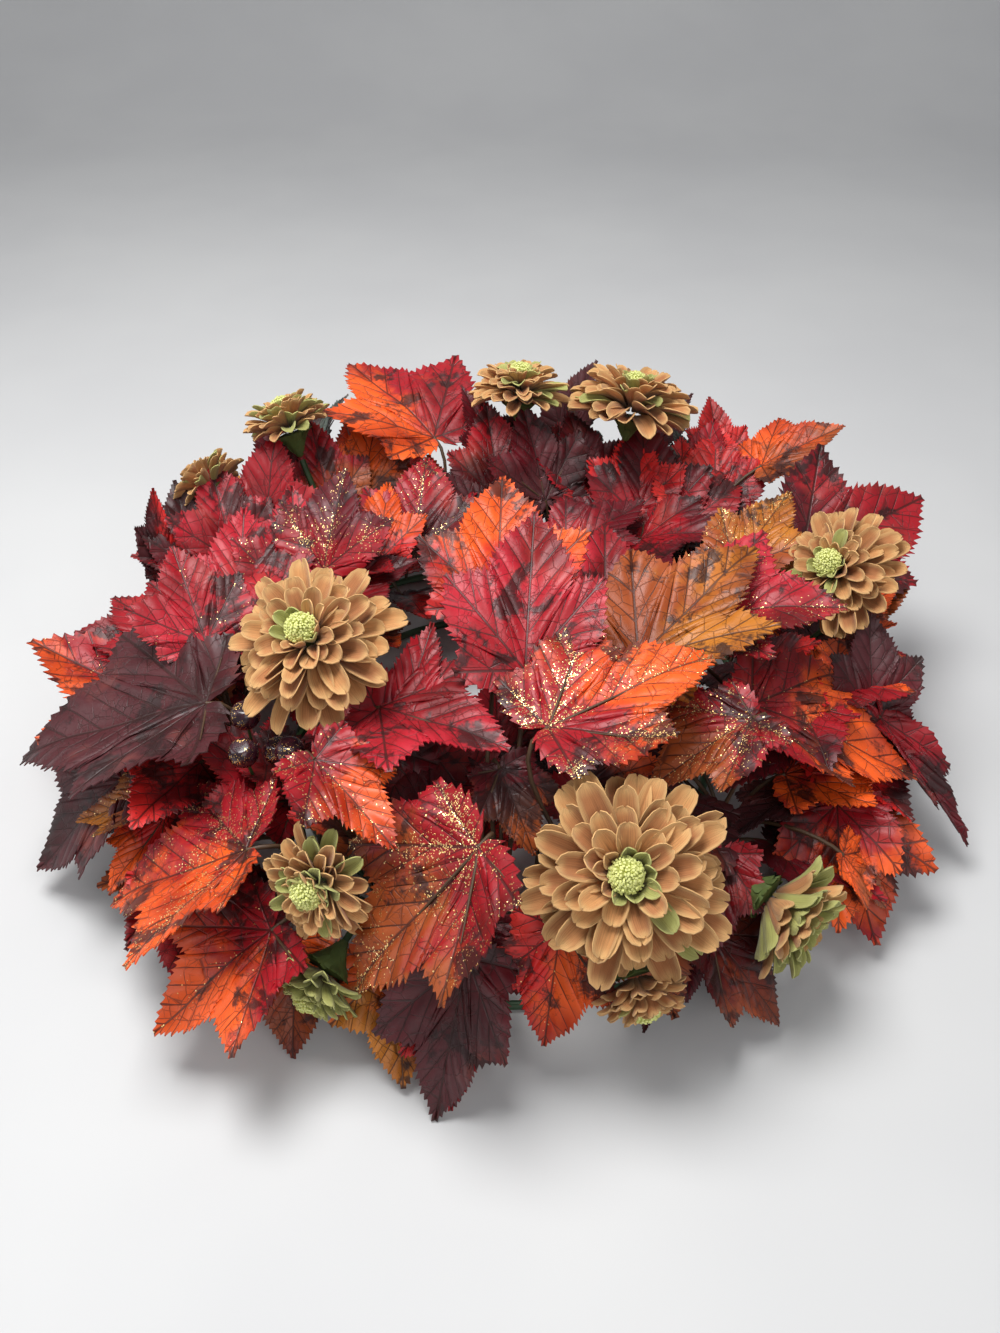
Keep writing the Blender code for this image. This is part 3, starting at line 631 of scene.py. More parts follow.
def leaf_satin(first, second):
    """Printed satin: two colours that run into each other, pale patches of painted sheen, blotches, a net of
    veins, and glitter.
    """
    name = f"leaf_satin_{first}_{second}"
    if name in bpy.data.materials:
        return bpy.data.materials[name]
    m = Nodes(name, 0.45, Specular_IOR_Level=0.40)
    blade = m.noted("blade", "Vector")
    phase, spread, gilt = m.parts(m.noted("ribs", "Vector"))

    # the two prints, feathered into each other along the veins
    feather = m.cloud(blade, 3.2, 5.0, 0.6)
    split = m.plus(m.noted("split"), m.times(m.minus(feather, 0.5), 1.1))
    print_colour = m.mixed(m.ramp(split, 0.36, 0.64), colour_of(first), colour_of(second))
    shade = m.cloud(blade, 1.7, 2.0)
    deeper = m.mixed(1.0, print_colour, (0.40, 0.17, 0.17, 1.0), "MULTIPLY")
    print_colour = m.mixed(m.ramp(shade, 0.46, 0.72), print_colour, deeper)
    # pale pink patches: painted sheen, mixed into the print colour at random places
    sheen_tint = m.mixed(0.35, print_colour, (0.95, 0.24, 0.14, 1.0))
    pale = m.times(m.ramp(m.cloud(blade, 2.4, 3.0), 0.54, 0.74), 0.32)
    print_colour = m.mixed(pale, print_colour, sheen_tint)

    # brown blotches with broken edges
    blot = m.cloud(blade, 2.6, 9.0, 0.68, 0.4)
    blot = m.ramp(m.plus(blot, m.times(m.cloud(blade, 26.0, 2.0), 0.12)), 0.585, 0.65)
    specks = m.ramp(m.cells(blade, 17.0), 0.13, 0.07)
    specks = m.times(specks, m.ramp(m.cloud(blade, 2.0), 0.50, 0.60))
    marks = m.most(m.times(blot, 0.86), m.times(specks, 0.7))
    print_colour = m.mixed(marks, print_colour, (0.020, 0.006, 0.006, 1.0))

    # veins: the main rib, the side veins, and the fine net between them
    main = m.ramp(spread, 0.011, 0.004)
    nearest = m.maths("ABSOLUTE", m.minus(m.maths("FRACT", m.plus(phase, 0.5)), 0.5))
    wander = m.times(m.minus(m.cloud(blade, 9.0), 0.5), 0.12)
    nearest = m.maths("ABSOLUTE", m.plus(nearest, wander))
    side = m.times(m.ramp(nearest, 0.055, 0.018), m.ramp(spread, 0.30, 0.14))
    net = m.times(m.ramp(m.cells(blade, 9.0, "DISTANCE_TO_EDGE"), 0.028, 0.006), 0.75)
    fine = m.times(m.ramp(m.cells(blade, 20.0, "DISTANCE_TO_EDGE"), 0.035, 0.008), 0.75)
    net = m.times(net, m.ramp(m.cloud(blade, 4.5), 0.34, 0.50))
    fine = m.times(fine, m.ramp(m.cloud(blade, 5.5), 0.44, 0.60))
    lines = m.most(m.most(main, side), m.most(net, fine))
    print_colour = m.mixed(m.times(lines, 0.80), print_colour, (0.028, 0.008, 0.006, 1.0))

    # gold glitter in flakes
    flake = m.cells(blade, 105.0)
    colour = m.cells(blade, 105.0, output="Color")
    chance, hue, height = m.parts(colour)
    drift = m.times(gilt, m.ramp(m.cloud(blade, 3.0, 4.0), 0.38, 0.66))
    flakes = m.maths("LESS_THAN", chance, drift)
    flakes = m.times(flakes, m.ramp(flake, 0.46, 0.36))
    metal = m.mixed(hue, colour_of("gold"), (0.95, 0.74, 0.38, 1.0))
    m.set("Base Color", m.mixed(flakes, print_colour, metal))
    m.set("Metallic", flakes)

    satin = m.plus(0.33, m.times(m.cloud(blade, 6.0, 3.0), 0.22))
    m.set("Roughness", m.minus(satin, m.times(flakes, 0.14)))
    weave = m.times(m.cloud(blade, 160.0, 1.0), 0.10)
    relief = m.minus(weave, m.times(lines, 0.55))
    relief = m.plus(relief, m.times(m.cloud(blade, 8.0, 3.0), 0.9))
    sparkle = m.times(flakes, height)
    relief = m.plus(relief, m.times(sparkle, 1.2))
    m.bump(relief, 0.6, 0.0009)
    return m.material


def moulded_plastic(name, colour, roughness=0.5, mottle=0.35):
    """Moulded plastic with a faint grain and uneven colour."""
    if name in bpy.data.materials:
        return bpy.data.materials[name]
    m = Nodes(name, roughness, Specular_IOR_Level=0.4)
    place = m.place()
    darker = tuple(0.45 * part for part in colour[:3]) + (1.0,)
    share = m.times(m.ramp(m.cloud(place, 90.0, 3.0), 0.35, 0.7), mottle)
    m.set("Base Color", m.mixed(share, colour, darker))
    m.set("Roughness", m.plus(roughness - 0.1, m.times(m.cloud(place, 400.0), 0.25)))
    m.bump(m.cloud(place, 900.0, 2.0), 0.25, 0.0003)
    return m.material


def coated_wire():
    """Steel wire under a thin green coat, rubbed a little on its high places."""
    name = "coated_wire"
    if name in bpy.data.materials:
        return bpy.data.materials[name]
    m = Nodes(name, 0.38, Specular_IOR_Level=0.5)
    place = m.place()
    rubbed = m.ramp(m.cloud(place, 160.0, 6.0, 0.7), 0.66, 0.74)
    cloudy = m.ramp(m.cloud(place, 45.0), 0.3, 0.7)
    green = m.mixed(cloudy, (0.010, 0.035, 0.014, 1.0), (0.022, 0.062, 0.026, 1.0))
    m.set("Base Color", m.mixed(m.times(rubbed, 0.6), green, (0.16, 0.17, 0.15, 1.0)))
    m.set("Roughness", m.plus(0.30, m.times(m.cloud(place, 300.0), 0.3)))
    m.bump(m.cloud(place, 500.0, 3.0), 0.2, 0.0003)
    return m.material


def petal_cloth():
    """Pressed petal cloth: painted shade in the middle crease and at the claw, fine streaks, and a pale rim.
    """
    name = "petal_cloth"
    if name in bpy.data.materials:
        return bpy.data.materials[name]
    m = Nodes(name, 0.72, Specular_IOR_Level=0.25, Sheen_Weight=0.15)
    local = m.noted("petal", "Vector")
    along, across, chance = m.parts(local)
    aside = m.maths("ABSOLUTE", across)
    tan = m.mixed(m.ramp(chance, 0.0, 1.0), colour_of("petal"), (0.42, 0.165, 0.060, 1.0))
    rim = m.most(m.ramp(aside, 0.55, 1.0), m.ramp(along, 0.80, 1.0))
    tan = m.mixed(m.times(rim, 0.75), tan, colour_of("petal_edge"))
    green = m.mixed(m.times(rim, 0.5), colour_of("green_petal"), (0.56, 0.56, 0.20, 1.0))
    blush = m.ramp(m.plus(m.noted("tone"), m.times(m.cloud(local, 3.0), 0.25)), 0.45, 0.75)
    base = m.mixed(blush, tan, green)
    streaks = m.scaled(local, (1.2, 26.0, 1.0))
    streak = m.ramp(m.cloud(streaks, 1.0, 3.0), 0.48, 0.66)
    # painted shade: darker down the petal's middle crease and towards its claw, where the petals overlap; the
    # fine streaks share the same dark brown
    crease = m.times(m.ramp(aside, 0.12, 0.02), m.ramp(along, 0.80, 0.45))
    claw = m.times(m.ramp(along, 0.50, 0.08), 0.80)
    streaks_and_shade = m.most(m.times(streak, 0.42), m.times(crease, 0.45))
    streaks_and_shade = m.most(streaks_and_shade, claw)
    base = m.mixed(streaks_and_shade, base, (0.13, 0.055, 0.022, 1.0))
    spots = m.ramp(m.cloud(m.place(), 420.0, 5.0, 0.7), 0.66, 0.76)
    m.set("Base Color", m.mixed(m.times(spots, 0.35), base, (0.16, 0.07, 0.03, 1.0)))
    m.set("Roughness", m.plus(0.62, m.times(streak, 0.2)))
    ridges = m.minus(m.cloud(streaks, 1.0, 3.0), m.times(crease, 0.5))
    m.bump(ridges, 0.55, 0.0006)
    return m.material


def button_flock():
    """Yellow green flock, paler at the tips of its tufts."""
    name = "button_flock"
    if name in bpy.data.materials:
        return bpy.data.materials[name]
    m = Nodes(name, 0.9, Specular_IOR_Level=0.2, Sheen_Weight=0.4)
    tip = m.noted("tip")
    deep = (0.12, 0.14, 0.008, 1.0)
    base = m.mixed(m.ramp(tip, 0.1, 0.9), deep, colour_of("button"))
    pale = m.times(m.ramp(m.cloud(m.place(), 700.0), 0.5, 0.7), 0.45)
    m.set("Base Color", m.mixed(pale, base, (0.68, 0.60, 0.05, 1.0)))
    m.bump(m.cloud(m.place(), 2500.0), 0.3, 0.0003)
    return m.material


def berry_skin():
    """Near black lacquer with gold glitter caught on it."""
    name = "berry_skin"
    if name in bpy.data.materials:
        return bpy.data.materials[name]
    m = Nodes(name, 0.2, Specular_IOR_Level=0.5, Coat_Weight=0.3, Coat_Roughness=0.15)
    place = m.place()
    colour = m.cells(place, 1500.0, output="Color")
    parts = m.parts(colour)
    drift = m.times(m.ramp(m.cloud(place, 120.0), 0.40, 0.62), 0.34)
    flakes = m.times(m.maths("LESS_THAN", parts[0], drift), m.ramp(m.cells(place, 1500.0), 0.5, 0.4))
    skin = m.mixed(m.ramp(m.cloud(place, 200.0), 0.4, 0.7), colour_of("berry"), (0.05, 0.008, 0.014, 1.0))
    m.set("Base Color", m.mixed(flakes, skin, colour_of("gold")))
    m.set("Metallic", flakes)
    m.set("Roughness", m.plus(0.26, m.times(flakes, 0.10)))
    m.bump(m.plus(m.times(flakes, parts[2]), m.cloud(place, 260.0)), 0.3, 0.0004)
    return m.material


# Leaves


def polar(turn, reach):
    angle = math.radians(turn)
    return np.array((reach * math.cos(angle), reach * math.sin(angle)))


def blade_rows(chance, grain):
    """One row for each line from a vein to the edge: foot, edge point, push of its tooth, side vein
    phase, and how far along its lobe it is. Lengths are shares of the blade's."""
    notches = [
        polar(turn + chance.uniform(-3, 3), reach * chance.uniform(0.92, 1.08)) for turn, reach in NOTCHES
    ]
    rows = []
    for index, (turn, reach, teeth, veins) in enumerate(LOBES):
        spread = chance.uniform(-5, 5) if turn else 0.0
        tip = polar(turn + spread, reach * (chance.uniform(0.92, 1.08) if turn else 1.0))
        ahead = tip / np.linalg.norm(tip)
        for half in (0, 1):
            notch = notches[index + half]
            out = np.array((-ahead[1], ahead[0])) * (1 if half == 0 else -1)
            far, wide = notch @ ahead, notch @ out
            ahead_of_notch = np.linalg.norm(tip) - far
            belly = ahead * (far + 0.30 * ahead_of_notch) + out * (wide * 1.45 + 0.03)
            waist = ahead * (far + 0.68 * ahead_of_notch) + out * 0.22 * ahead_of_notch
            count = teeth * grain
            bites = [chance.uniform(0.6, 1.3) for _ in range(teeth + 1)]
            for step in range(count + (index == len(LOBES) - 1 and half == 1)):
                u = step / count if half == 0 else 1 - step / count
                v = 1 - u
                edge = v**3 * notch + 3 * v * v * u * belly + 3 * v * u * u * waist + u**3 * tip
                tooth = u * teeth
                push = (max(0.0, tooth - math.floor(tooth + 1e-6)) * grain / (grain - 1)) ** 1.4
                push *= bites[int(tooth + 1e-6)] * (1 - 0.50 * u) * (0.5 if u < 0.05 else 1.0)
                rows.append((tip * u**1.15, edge, (out + 0.9 * ahead) * push, u * veins + 0.5, u, out))
    return rows


def blade_height(x, y, away, w, phase, curl, seed):
    """How far a point of the blade stands off its flat pattern."""
    pleat = abs(math.sin(math.pi * phase)) ** 0.75 * math.sin(math.pi * min(0.80, 0.12 + 0.72 * w))
    rise = sizes().pleat * pleat * min(1.0, away / 0.06)
    rise += 0.17 * abs(y) ** 1.15 + 0.10 * away - curl * max(0.0, x) ** 2
    rise += 0.050 * noise.noise(Vector((1.9 * x, 1.9 * y, seed)))
    rise += 0.030 * w * noise.noise(Vector((5.5 * x, 5.5 * y, seed + 9)))
    return rise


def make_blade(name, placed, length, width, curl, finish, seed, grain):
    """A lobed, toothed and pleated blade: a grid whose rows run from the veins to the edge."""
    first, second, side, gilt = finish
    chance = random.Random(seed)
    rows = blade_rows(chance, grain)
    columns = 6 if grain > 2 else 5
    obj = blank_grid(len(rows) - 1, columns)
    flat = coordinates(obj.data) + 0.5
    toward = polar(side, 1.0)
    points, pattern, ribs, split = [], [], [], []
    origin = (chance.uniform(0, 50), chance.uniform(0, 50))
    tooth = sizes().tooth
    twist = chance.uniform(-0.10, 0.10)
    for s, t, _ in flat:
        foot, edge, push, phase, u, out = rows[round(s * (len(rows) - 1))]
        w = t**0.85
        x, y = foot + w * (edge - foot) + tooth * w**4 * push
        away = abs(w * (edge @ out))
        z = blade_height(x, y, away, w, phase, curl, seed) + twist * x * y
        points.append(placed @ Vector((x * length, y * length * width, z * length)))
        pattern.append((10 * x * length + origin[0], 10 * y * length * width + origin[1], 0.0))
        along_rib = math.exp(-away / 0.05)
        ribs.append((phase, away, gilt * (0.16 + 1.10 * along_rib)))
        split.append(0.5 + 0.75 * (toward[0] * (x - 0.35) + toward[1] * y))
    note(obj.data, "blade", pattern)
    note(obj.data, "ribs", ribs)
    note(obj.data, "split", split)
    place_points(obj.data, points)
    weld(obj)
    finish_modifier(obj, "SOLIDIFY", thickness=sizes().sheet, offset=-1.0)
    smooth(obj)
    obj.name = name
    obj.data.materials.append(leaf_satin(first, second))
    return obj


def make_stalk(name, placed, root, base, along, length, width, curl):
    """The moulded stalk, and the ribs that carry on from it under the blade."""
    reach = (base - root).length
    stalk = bezier(root, root + Vector((0, 0, 0.35 * reach)), base - along * 0.3 * reach, base, 9)
    below = placed.to_3x3() @ Vector((0, 0, -1))

    def under(x, y):
        rise = 0.17 * abs(y) ** 1.15 - curl * max(0.0, x) ** 2
        return placed @ Vector((x * length, y * length * width, rise * length)) + below * RIB_DROP

    runs = [(stalk, STALK_RADIUS, STALK_RADIUS)]
    for turn, lobe_reach, _, _ in LOBES:
        far = polar(turn, 0.62 * lobe_reach)
        points = [under(*(far * step / 5)) for step in range(6)]
        runs.append((points, 0.8 * STALK_RADIUS, 0.3 * STALK_RADIUS))
    return wires(name, runs, moulded_plastic("stalk_plastic", (0.085, 0.045, 0.022, 1.0)))


def make_leaf(name, row, seed, grain):
    """One leaf with its stalk, from its row in the table."""
    root_turn, turn, out, up, compass, lift, roll, length, width, curl, *finish = row
    base, along = on_ring(turn, out, up), facing(turn, compass, lift)
    placed = blade_frame(base, along, roll)
    blade = make_blade(name, placed, length, width, curl, finish, seed, grain)
    root = on_ring(root_turn, 0, CROWN_TOP)
    stalk = make_stalk(f"{name}_stalk", placed, root, base, along, length, width, curl)
    return joined(name, [blade, stalk])


def place_sprays(prefix, sprays):
    """Joins each spray's leaves into one piece of the wreath."""
    for index, leaves in enumerate(sprays):
        if leaves:
            spray = joined(f"{prefix}_{index + 1}", leaves)
            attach(spray, "wreath")


def crowds(row):
    """Whether a low leaf would stand in a zinnia's petals, or in the hanging loop's way."""
    _, turn, out, up, compass, lift, _, length, *_ = row
    base, along = on_ring(turn, out, up), facing(turn, compass, lift)
    behind, ahead, beside = FLOWER_ROOM
    if abs(turn - LOOP_TURN) < LOOP_ROOM and up < LOOP_TOP:
        return True
    for *where, _, _ in ZINNIAS.values():
        neck, axis = neck_of(*where)
        radius = where[-1]
        for step in range(6):
            place = base + along * length * step / 5 - neck
            level = place.dot(axis)
            if behind < level < ahead and (place - axis * level).length < radius + beside:
                return True
    return False


# Flowers


def petal_points(flat, start, lift, length, width, cup, turn, roll, notch):
    """A spoon-shaped petal's points from the flat pattern, in the flower's own frame."""
    out, up = start
    first, last = (math.radians(angle) for angle in lift)
    points = []
    for x, y in flat:
        if x < PETAL_WIDEST:
            share = PETAL_CLAW + (1 - PETAL_CLAW) * math.sin(x / PETAL_WIDEST * math.pi / 2) ** 1.7
        else:
            past = min(1.0, (x - PETAL_WIDEST) / (1 - PETAL_WIDEST))
            share = PETAL_TIP + (1 - PETAL_TIP) * (1 - past**3.4) ** 0.5
        half = width / 2 * share
        angle = first + (last - first) * x / 2
        dent = 1 - notch * x**8 * math.exp(-((y / 0.35) ** 2))
        reach, rise = length * x * dent * math.cos(angle), length * x * dent * math.sin(angle)
        side = y * half
        bowl = cup * half * y * y - 0.10 * half * math.exp(-((y / 0.22) ** 2)) * (1 - 0.6 * x)
        tilted = side * math.cos(roll) - bowl * math.sin(roll)
        bowl = side * math.sin(roll) + bowl * math.cos(roll)
        slope = first + (last - first) * x
        away = out + reach - bowl * math.sin(slope)
        points.append(
            (
                away * math.cos(turn) - tilted * math.sin(turn),
                away * math.sin(turn) + tilted * math.cos(turn),
                up + rise + bowl * math.cos(slope),
            )
        )
    return points


def make_petals(name, placed, layers, material, seed, columns=4, rows=7):
    """Many petals from one flat pattern. Each layer also gives its height, openness and green share."""
    blank = blank_grid(rows, columns)
    flat = [(1 - abs(0.5 - x) ** 1.6, 2 * y) for x, y, _ in coordinates(blank.data)]
    loops = [tuple(face.vertices) for face in blank.data.polygons]
    bpy.data.objects.remove(blank)
    chance = random.Random(seed)
    points, faces, local, tone = [], [], [], []
    for index, (count, out, up, first, last, length, width, cup, green) in enumerate(layers):
        for petal in range(count):
            turn = TAU * (petal + 0.5 * (index % 2)) / count + chance.uniform(-0.11, 0.11)
            lift = (first + chance.uniform(-8, 8), last + chance.uniform(-22, 22))
            size = chance.uniform(0.76, 1.05)
            roll = chance.uniform(-0.36, 0.36)
            offset = len(points)
            shaped = petal_points(
                flat,
                (out, up),
                lift,
                length * size,
                width * chance.uniform(0.9, 1.08),
                cup,
                turn,
                roll,
                chance.uniform(0.0, 0.10),
            )
            points += [placed @ Vector(point) for point in shaped]
            faces += [tuple(corner + offset for corner in loop) for loop in loops]
            shift = chance.random()
            local += [(x, y, shift) for x, y in flat]
            is_green = chance.random() < green
            tone += [chance.uniform(0.65, 1.0) if is_green else chance.uniform(0.0, 0.35)] * len(flat)
    mesh = bpy.data.meshes.new(name)
    mesh.from_pydata(points, [], faces)
    note(mesh, "petal", local)
    note(mesh, "tone", tone)
    mesh.materials.append(material)
    obj = bpy.data.objects.new(name, mesh)
    bpy.context.scene.collection.objects.link(obj)
    finish_modifier(obj, "SOLIDIFY", thickness=sizes().petal_sheet, offset=-1.0)
    smooth(obj)
    return obj


def flower_layers(radius, opened, green):
    """The petal layers of a flower, in metres above its neck."""
    layers = []
    for index, (count, out, up, first, last, length, width) in enumerate(PETAL_LAYERS):
        closed = (1 - opened) * 70
        share = min(1.0, 1.5 * green * green if index < len(PETAL_LAYERS) - 1 else green + 0.5)
        layers.append(
            (
                count,
                out * radius,
                CALYX_HEIGHT + up * radius,
                min(86, first + closed),
                min(84, last + closed),
                length * radius * (1 - 0.25 * (1 - opened)),
                width * radius,
                sizes().cup,
                share,
            )
        )
    return layers


def make_cup(name, placed, seed):
    """The calyx: a turned cup with three rows of pointed scales pressed to it."""
    deselect()
    bpy.ops.mesh.primitive_uv_sphere_add(segments=20, ring_count=12, radius=1.0)
    cup = bpy.context.active_object
    points = coordinates(cup.data)
    for point in points:
        level = (point[2] + 1) / 2
        reach = math.hypot(point[0], point[1])
        foot = STEM_WIRE * 0.6
        wide = foot + (CUP_RADIUS - foot) * min(1.0, level * 1.15) ** 1.5
        share = wide / reach if reach > 1e-6 else 0.0
        point[0] *= share * min(1.0, reach * 2.2)
        point[1] *= share * min(1.0, reach * 2.2)
        point[2] = 0.0012 + level * (CALYX_HEIGHT - 0.0016)
    place_points(cup.data, [placed @ Vector(point) for point in points])
    smooth(cup)
    green = moulded_plastic("calyx_green", colour_of("calyx"), 0.6, 0.6)
    cup.data.materials.append(green)
    scales = (
        (7, 0.0030, 0.0045, 72, 60, 0.0095, 0.0065, 0.3, 1.0),
        (8, 0.0050, 0.0090, 68, 48, 0.0095, 0.0070, 0.3, 1.0),
        (9, 0.0078, 0.0130, 62, 30, 0.0085, 0.0070, 0.3, 1.0),
    )
    leaves = make_petals(f"{name}_scales", placed, scales, green, seed, columns=2, rows=4)
    return joined(name, [cup, leaves])


def make_button(name, placed, level, seed):
    """The flocked middle: a low dome covered in short tufts."""
    deselect()
    bpy.ops.mesh.primitive_ico_sphere_add(subdivisions=3, radius=1.0)
    dome = bpy.context.active_object
    points = coordinates(dome.data)
    size = np.array((0.66 * BUTTON_RADIUS, 0.66 * BUTTON_RADIUS, 0.60 * BUTTON_RADIUS))
    middle = np.array((0, 0, level + 0.10 * BUTTON_RADIUS))
    place_points(dome.data, [placed @ Vector(point * size + middle) for point in points])
    note(dome.data, "tip", np.zeros(len(points)))
    chance = random.Random(seed)
    tufts, faces, tip = [], [], []
    count = sizes().florets
    golden = math.pi * (3 - math.sqrt(5))
    for index in range(count):
        height = 1 - 1.05 * (index + 0.5) / count
        ring = math.sqrt(1 - height * height)
        way = Vector((ring * math.cos(index * golden), ring * math.sin(index * golden), height))
        root = Vector(np.array(way) * size + middle)
        tall = BUTTON_RADIUS * chance.uniform(0.16, 0.30)
        wide = BUTTON_RADIUS * 0.075
        side = way.orthogonal().normalized()
        other = way.cross(side)
        way = (way + 0.25 * Vector([chance.uniform(-1, 1) for _ in range(3)])).normalized()
        offset = len(tufts)
        corners = [root + wide * side, root + wide * other, root - wide * side, root - wide * other]
        crown = [corner + tall * way for corner in corners]
        tufts += [placed @ point for point in corners + crown]
        tip += [0.15] * 4 + [1.0] * 4
        for here in range(4):
            there = (here + 1) % 4
            faces.append((offset + here, offset + there, offset + 4 + there, offset + 4 + here))
        faces.append((offset + 3, offset + 2, offset + 1, offset))
        faces.append((offset + 4, offset + 5, offset + 6, offset + 7))
    mesh = bpy.data.meshes.new(f"{name}_tufts")
    mesh.from_pydata(tufts, [], faces)
    note(mesh, "tip", tip)
    tufted = bpy.data.objects.new(f"{name}_tufts", mesh)
    bpy.context.scene.collection.objects.link(tufted)
    dome.data.materials.append(button_flock())
    mesh.materials.append(button_flock())
    smooth(dome)
    return joined(name, [dome, tufted])


def make_flower(name, place, seed):
    """Petals, calyx and button of one flower: three pieces."""
    *where, opened, green = place
    neck, axis = neck_of(*where)
    placed = axis_frame(neck, axis)
    radius = where[-1]
    petals = make_petals(f"{name}_petals", placed, flower_layers(radius, opened, green), petal_cloth(), seed)
    cup = make_cup(f"{name}_cup", placed, seed + 1)
    button = make_button(f"{name}_button", placed, CALYX_HEIGHT + 0.46 * radius, seed + 2)
    return petals, cup, button


# Operators


class WREATH_OT_wire_frame(bpy.types.Operator):
    """Round the rings of the wire frame, and give all wire its green coat"""

    bl_idname = "wreath.wire_frame"
    bl_label = "Wire frame"

    def execute(self, context):
        rings = (
            ("ring_outer", "outer_ring", OUTER_RADIUS, BACK_MIDDLE),
            ("ring_inner", "inner_ring", INNER_RADIUS, BACK_MIDDLE),
            ("ring_crown", "crown_ring", RING_RADIUS, CROWN_MIDDLE),
        )
        for name, node, radius, height in rings:
            deselect()
            bpy.ops.mesh.primitive_torus_add(
                major_segments=144,
                minor_segments=16,
                major_radius=radius,
                minor_radius=RING_WIRE / 2,
                location=(0, 0, height),
            )
            ring = settle(bpy.context.active_object)
            ring.name = name
            smooth(ring)
            ring.data.materials.append(coated_wire())
            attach(ring, "wreath")
            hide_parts(node)
        for node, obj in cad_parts.items():
            if node.startswith("cross_tie") or node == "hanging_loop":
                obj.data.materials.clear()
                obj.data.materials.append(coated_wire())
        return {"FINISHED"}


class WREATH_OT_stems(bpy.types.Operator):
    """Give the zinnias' stems their moulded green plastic"""

    bl_idname = "wreath.stems"
    bl_label = "Stems"

    def execute(self, context):
        for node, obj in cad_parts.items():
            if node.endswith("_stem"):
                obj.data.materials.clear()
                obj.data.materials.append(moulded_plastic("stem_green", colour_of("stem"), 0.5, 0.6))
        return {"FINISHED"}


class WREATH_OT_leaves(bpy.types.Operator):
    """Make the maple leaves that the frame carries"""

    bl_idname = "wreath.leaves"
    bl_label = "Maple leaves"

    def execute(self, context):
        for index, (node, row) in enumerate(LEAVES.items()):
            leaf = make_leaf(node.replace("maple_leaf", "leaf"), row, 11 * index + 3, sizes().grain)
            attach(leaf, "wreath")
            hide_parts(node)
        return {"FINISHED"}


class WREATH_OT_sprays(bpy.types.Operator):
    """Make the leaves between the frame's own ones, in sprays round the ring"""

    bl_idname = "wreath.sprays"
    bl_label = "Leaf sprays"

    def execute(self, context):
        sprays = [[] for _ in range(SPRAY_COUNT)]
        for index, row in enumerate(SPRAY_LEAVES):
            leaf = make_leaf(f"spray_leaf_{index}", row, 7 * index + 501, max(2, sizes().grain - 1))
            sprays[int(row[1] % 360 * SPRAY_COUNT / 360)].append(leaf)
        place_sprays("spray", sprays)
        return {"FINISHED"}


class WREATH_OT_under_leaves(bpy.types.Operator):
    """Fill the wreath below its picks with rows of darker leaves"""

    bl_idname = "wreath.under_leaves"
    bl_label = "Under leaves"

    def execute(self, context):
        chance = random.Random(UNDER_SEED)
        sprays = [[] for _ in range(SPRAY_COUNT)]
        for index, (count, out, up, compass, sweep, lift, rise, length) in enumerate(UNDER_ROWS):
            for number in range(count):
                turn = 360 * (number + chance.uniform(-0.3, 0.3) + 0.5 * (index % 2)) / count % 360
                row = [
                    turn + chance.uniform(-6, 6),
                    turn,
                    out + chance.uniform(-0.006, 0.006),
                    up + chance.uniform(-0.008, 0.008),
                    compass + chance.uniform(-sweep, sweep),
                    lift + chance.uniform(-rise, rise),
                    chance.uniform(-20, 20),
                    length * chance.uniform(0.9, 1.1),
                    chance.uniform(0.85, 1.0),
                    UNDER_CURL,
                    chance.choice(UNDER_PRINTS),
                    chance.choice(UNDER_PRINTS),
                    chance.uniform(0, 360),
                    0.0,
                ]
                if index >= len(UNDER_ROWS) - FILLER_ROWS and SHOWN_TURNS[0] < turn < SHOWN_TURNS[1]:
                    continue
                if index < EDGE_ROWS and FRONT_TURNS[0] < turn < FRONT_TURNS[1]:
                    out_by, up_by, lift_by, share = FRONT_CHANGE
                    row[2:4] = out + out_by, row[3] + up_by
                    row[5], row[7] = lift + lift_by, row[7] * share
                if crowds(row):
                    continue
                leaf = make_leaf(f"under_leaf_{index}_{number}", row, 1000 + 40 * index + number, UNDER_GRAIN)
                sprays[int(turn * SPRAY_COUNT / 360)].append(leaf)
        place_sprays("under_spray", sprays)
        return {"FINISHED"}


class WREATH_OT_zinnias(bpy.types.Operator):
    """Make the heads of the eight zinnias that nod"""

    bl_idname = "wreath.zinnias"
    bl_label = "Zinnias"

    def execute(self, context):
        for index, (name, place) in enumerate(ZINNIAS.items()):
            flower = name.replace("zinnia", "flower")
            petals, cup, button = make_flower(flower, place, 100 + 10 * index)
            if name in FULL_ZINNIAS:
                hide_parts(f"{name}_petals")
                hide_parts(f"{name}_calyx")
                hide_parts(f"{name}_button")
            else:
                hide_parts(f"{name}_head")
            for piece, slot in ((petals, "petal_fabric"), (cup, "calyx_plastic"), (button, "button_flock")):
                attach(piece, f"{name}_bloom")
        return {"FINISHED"}


class WREATH_OT_buds(bpy.types.Operator):
    """Make the small flowers that stay put"""

    bl_idname = "wreath.buds"
    bl_label = "Buds"

    def execute(self, context):
        for index, (name, place) in enumerate({**BUDS, **LOOSE_BUDS}.items()):
            petals, cup, button = make_flower(name, place, 300 + 10 * index)
            neck, axis = neck_of(*place[:6])
            root = on_ring(place[0], 0, CROWN_TOP)
            reach = (neck - root).length
            run = bezier(root, root + Vector((0, 0, 0.35 * reach)), neck - axis * 0.3 * reach, neck, 10)
            run.append(neck + axis * 0.003)
            stem = wires(
                f"{name}_stem",
                [(run, STEM_WIRE / 2, STEM_WIRE / 2)],
                moulded_plastic("stem_green", colour_of("stem"), 0.5, 0.6),
                8,
            )
            smooth(stem)
            if name in BUDS:
                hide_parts(name)
            pieces = (
                (petals, "petal_fabric"),
                (cup, "calyx_plastic"),
                (button, "button_flock"),
                (stem, "stem_plastic"),
            )
            for piece, slot in pieces:
                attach(piece, "wreath")
        return {"FINISHED"}


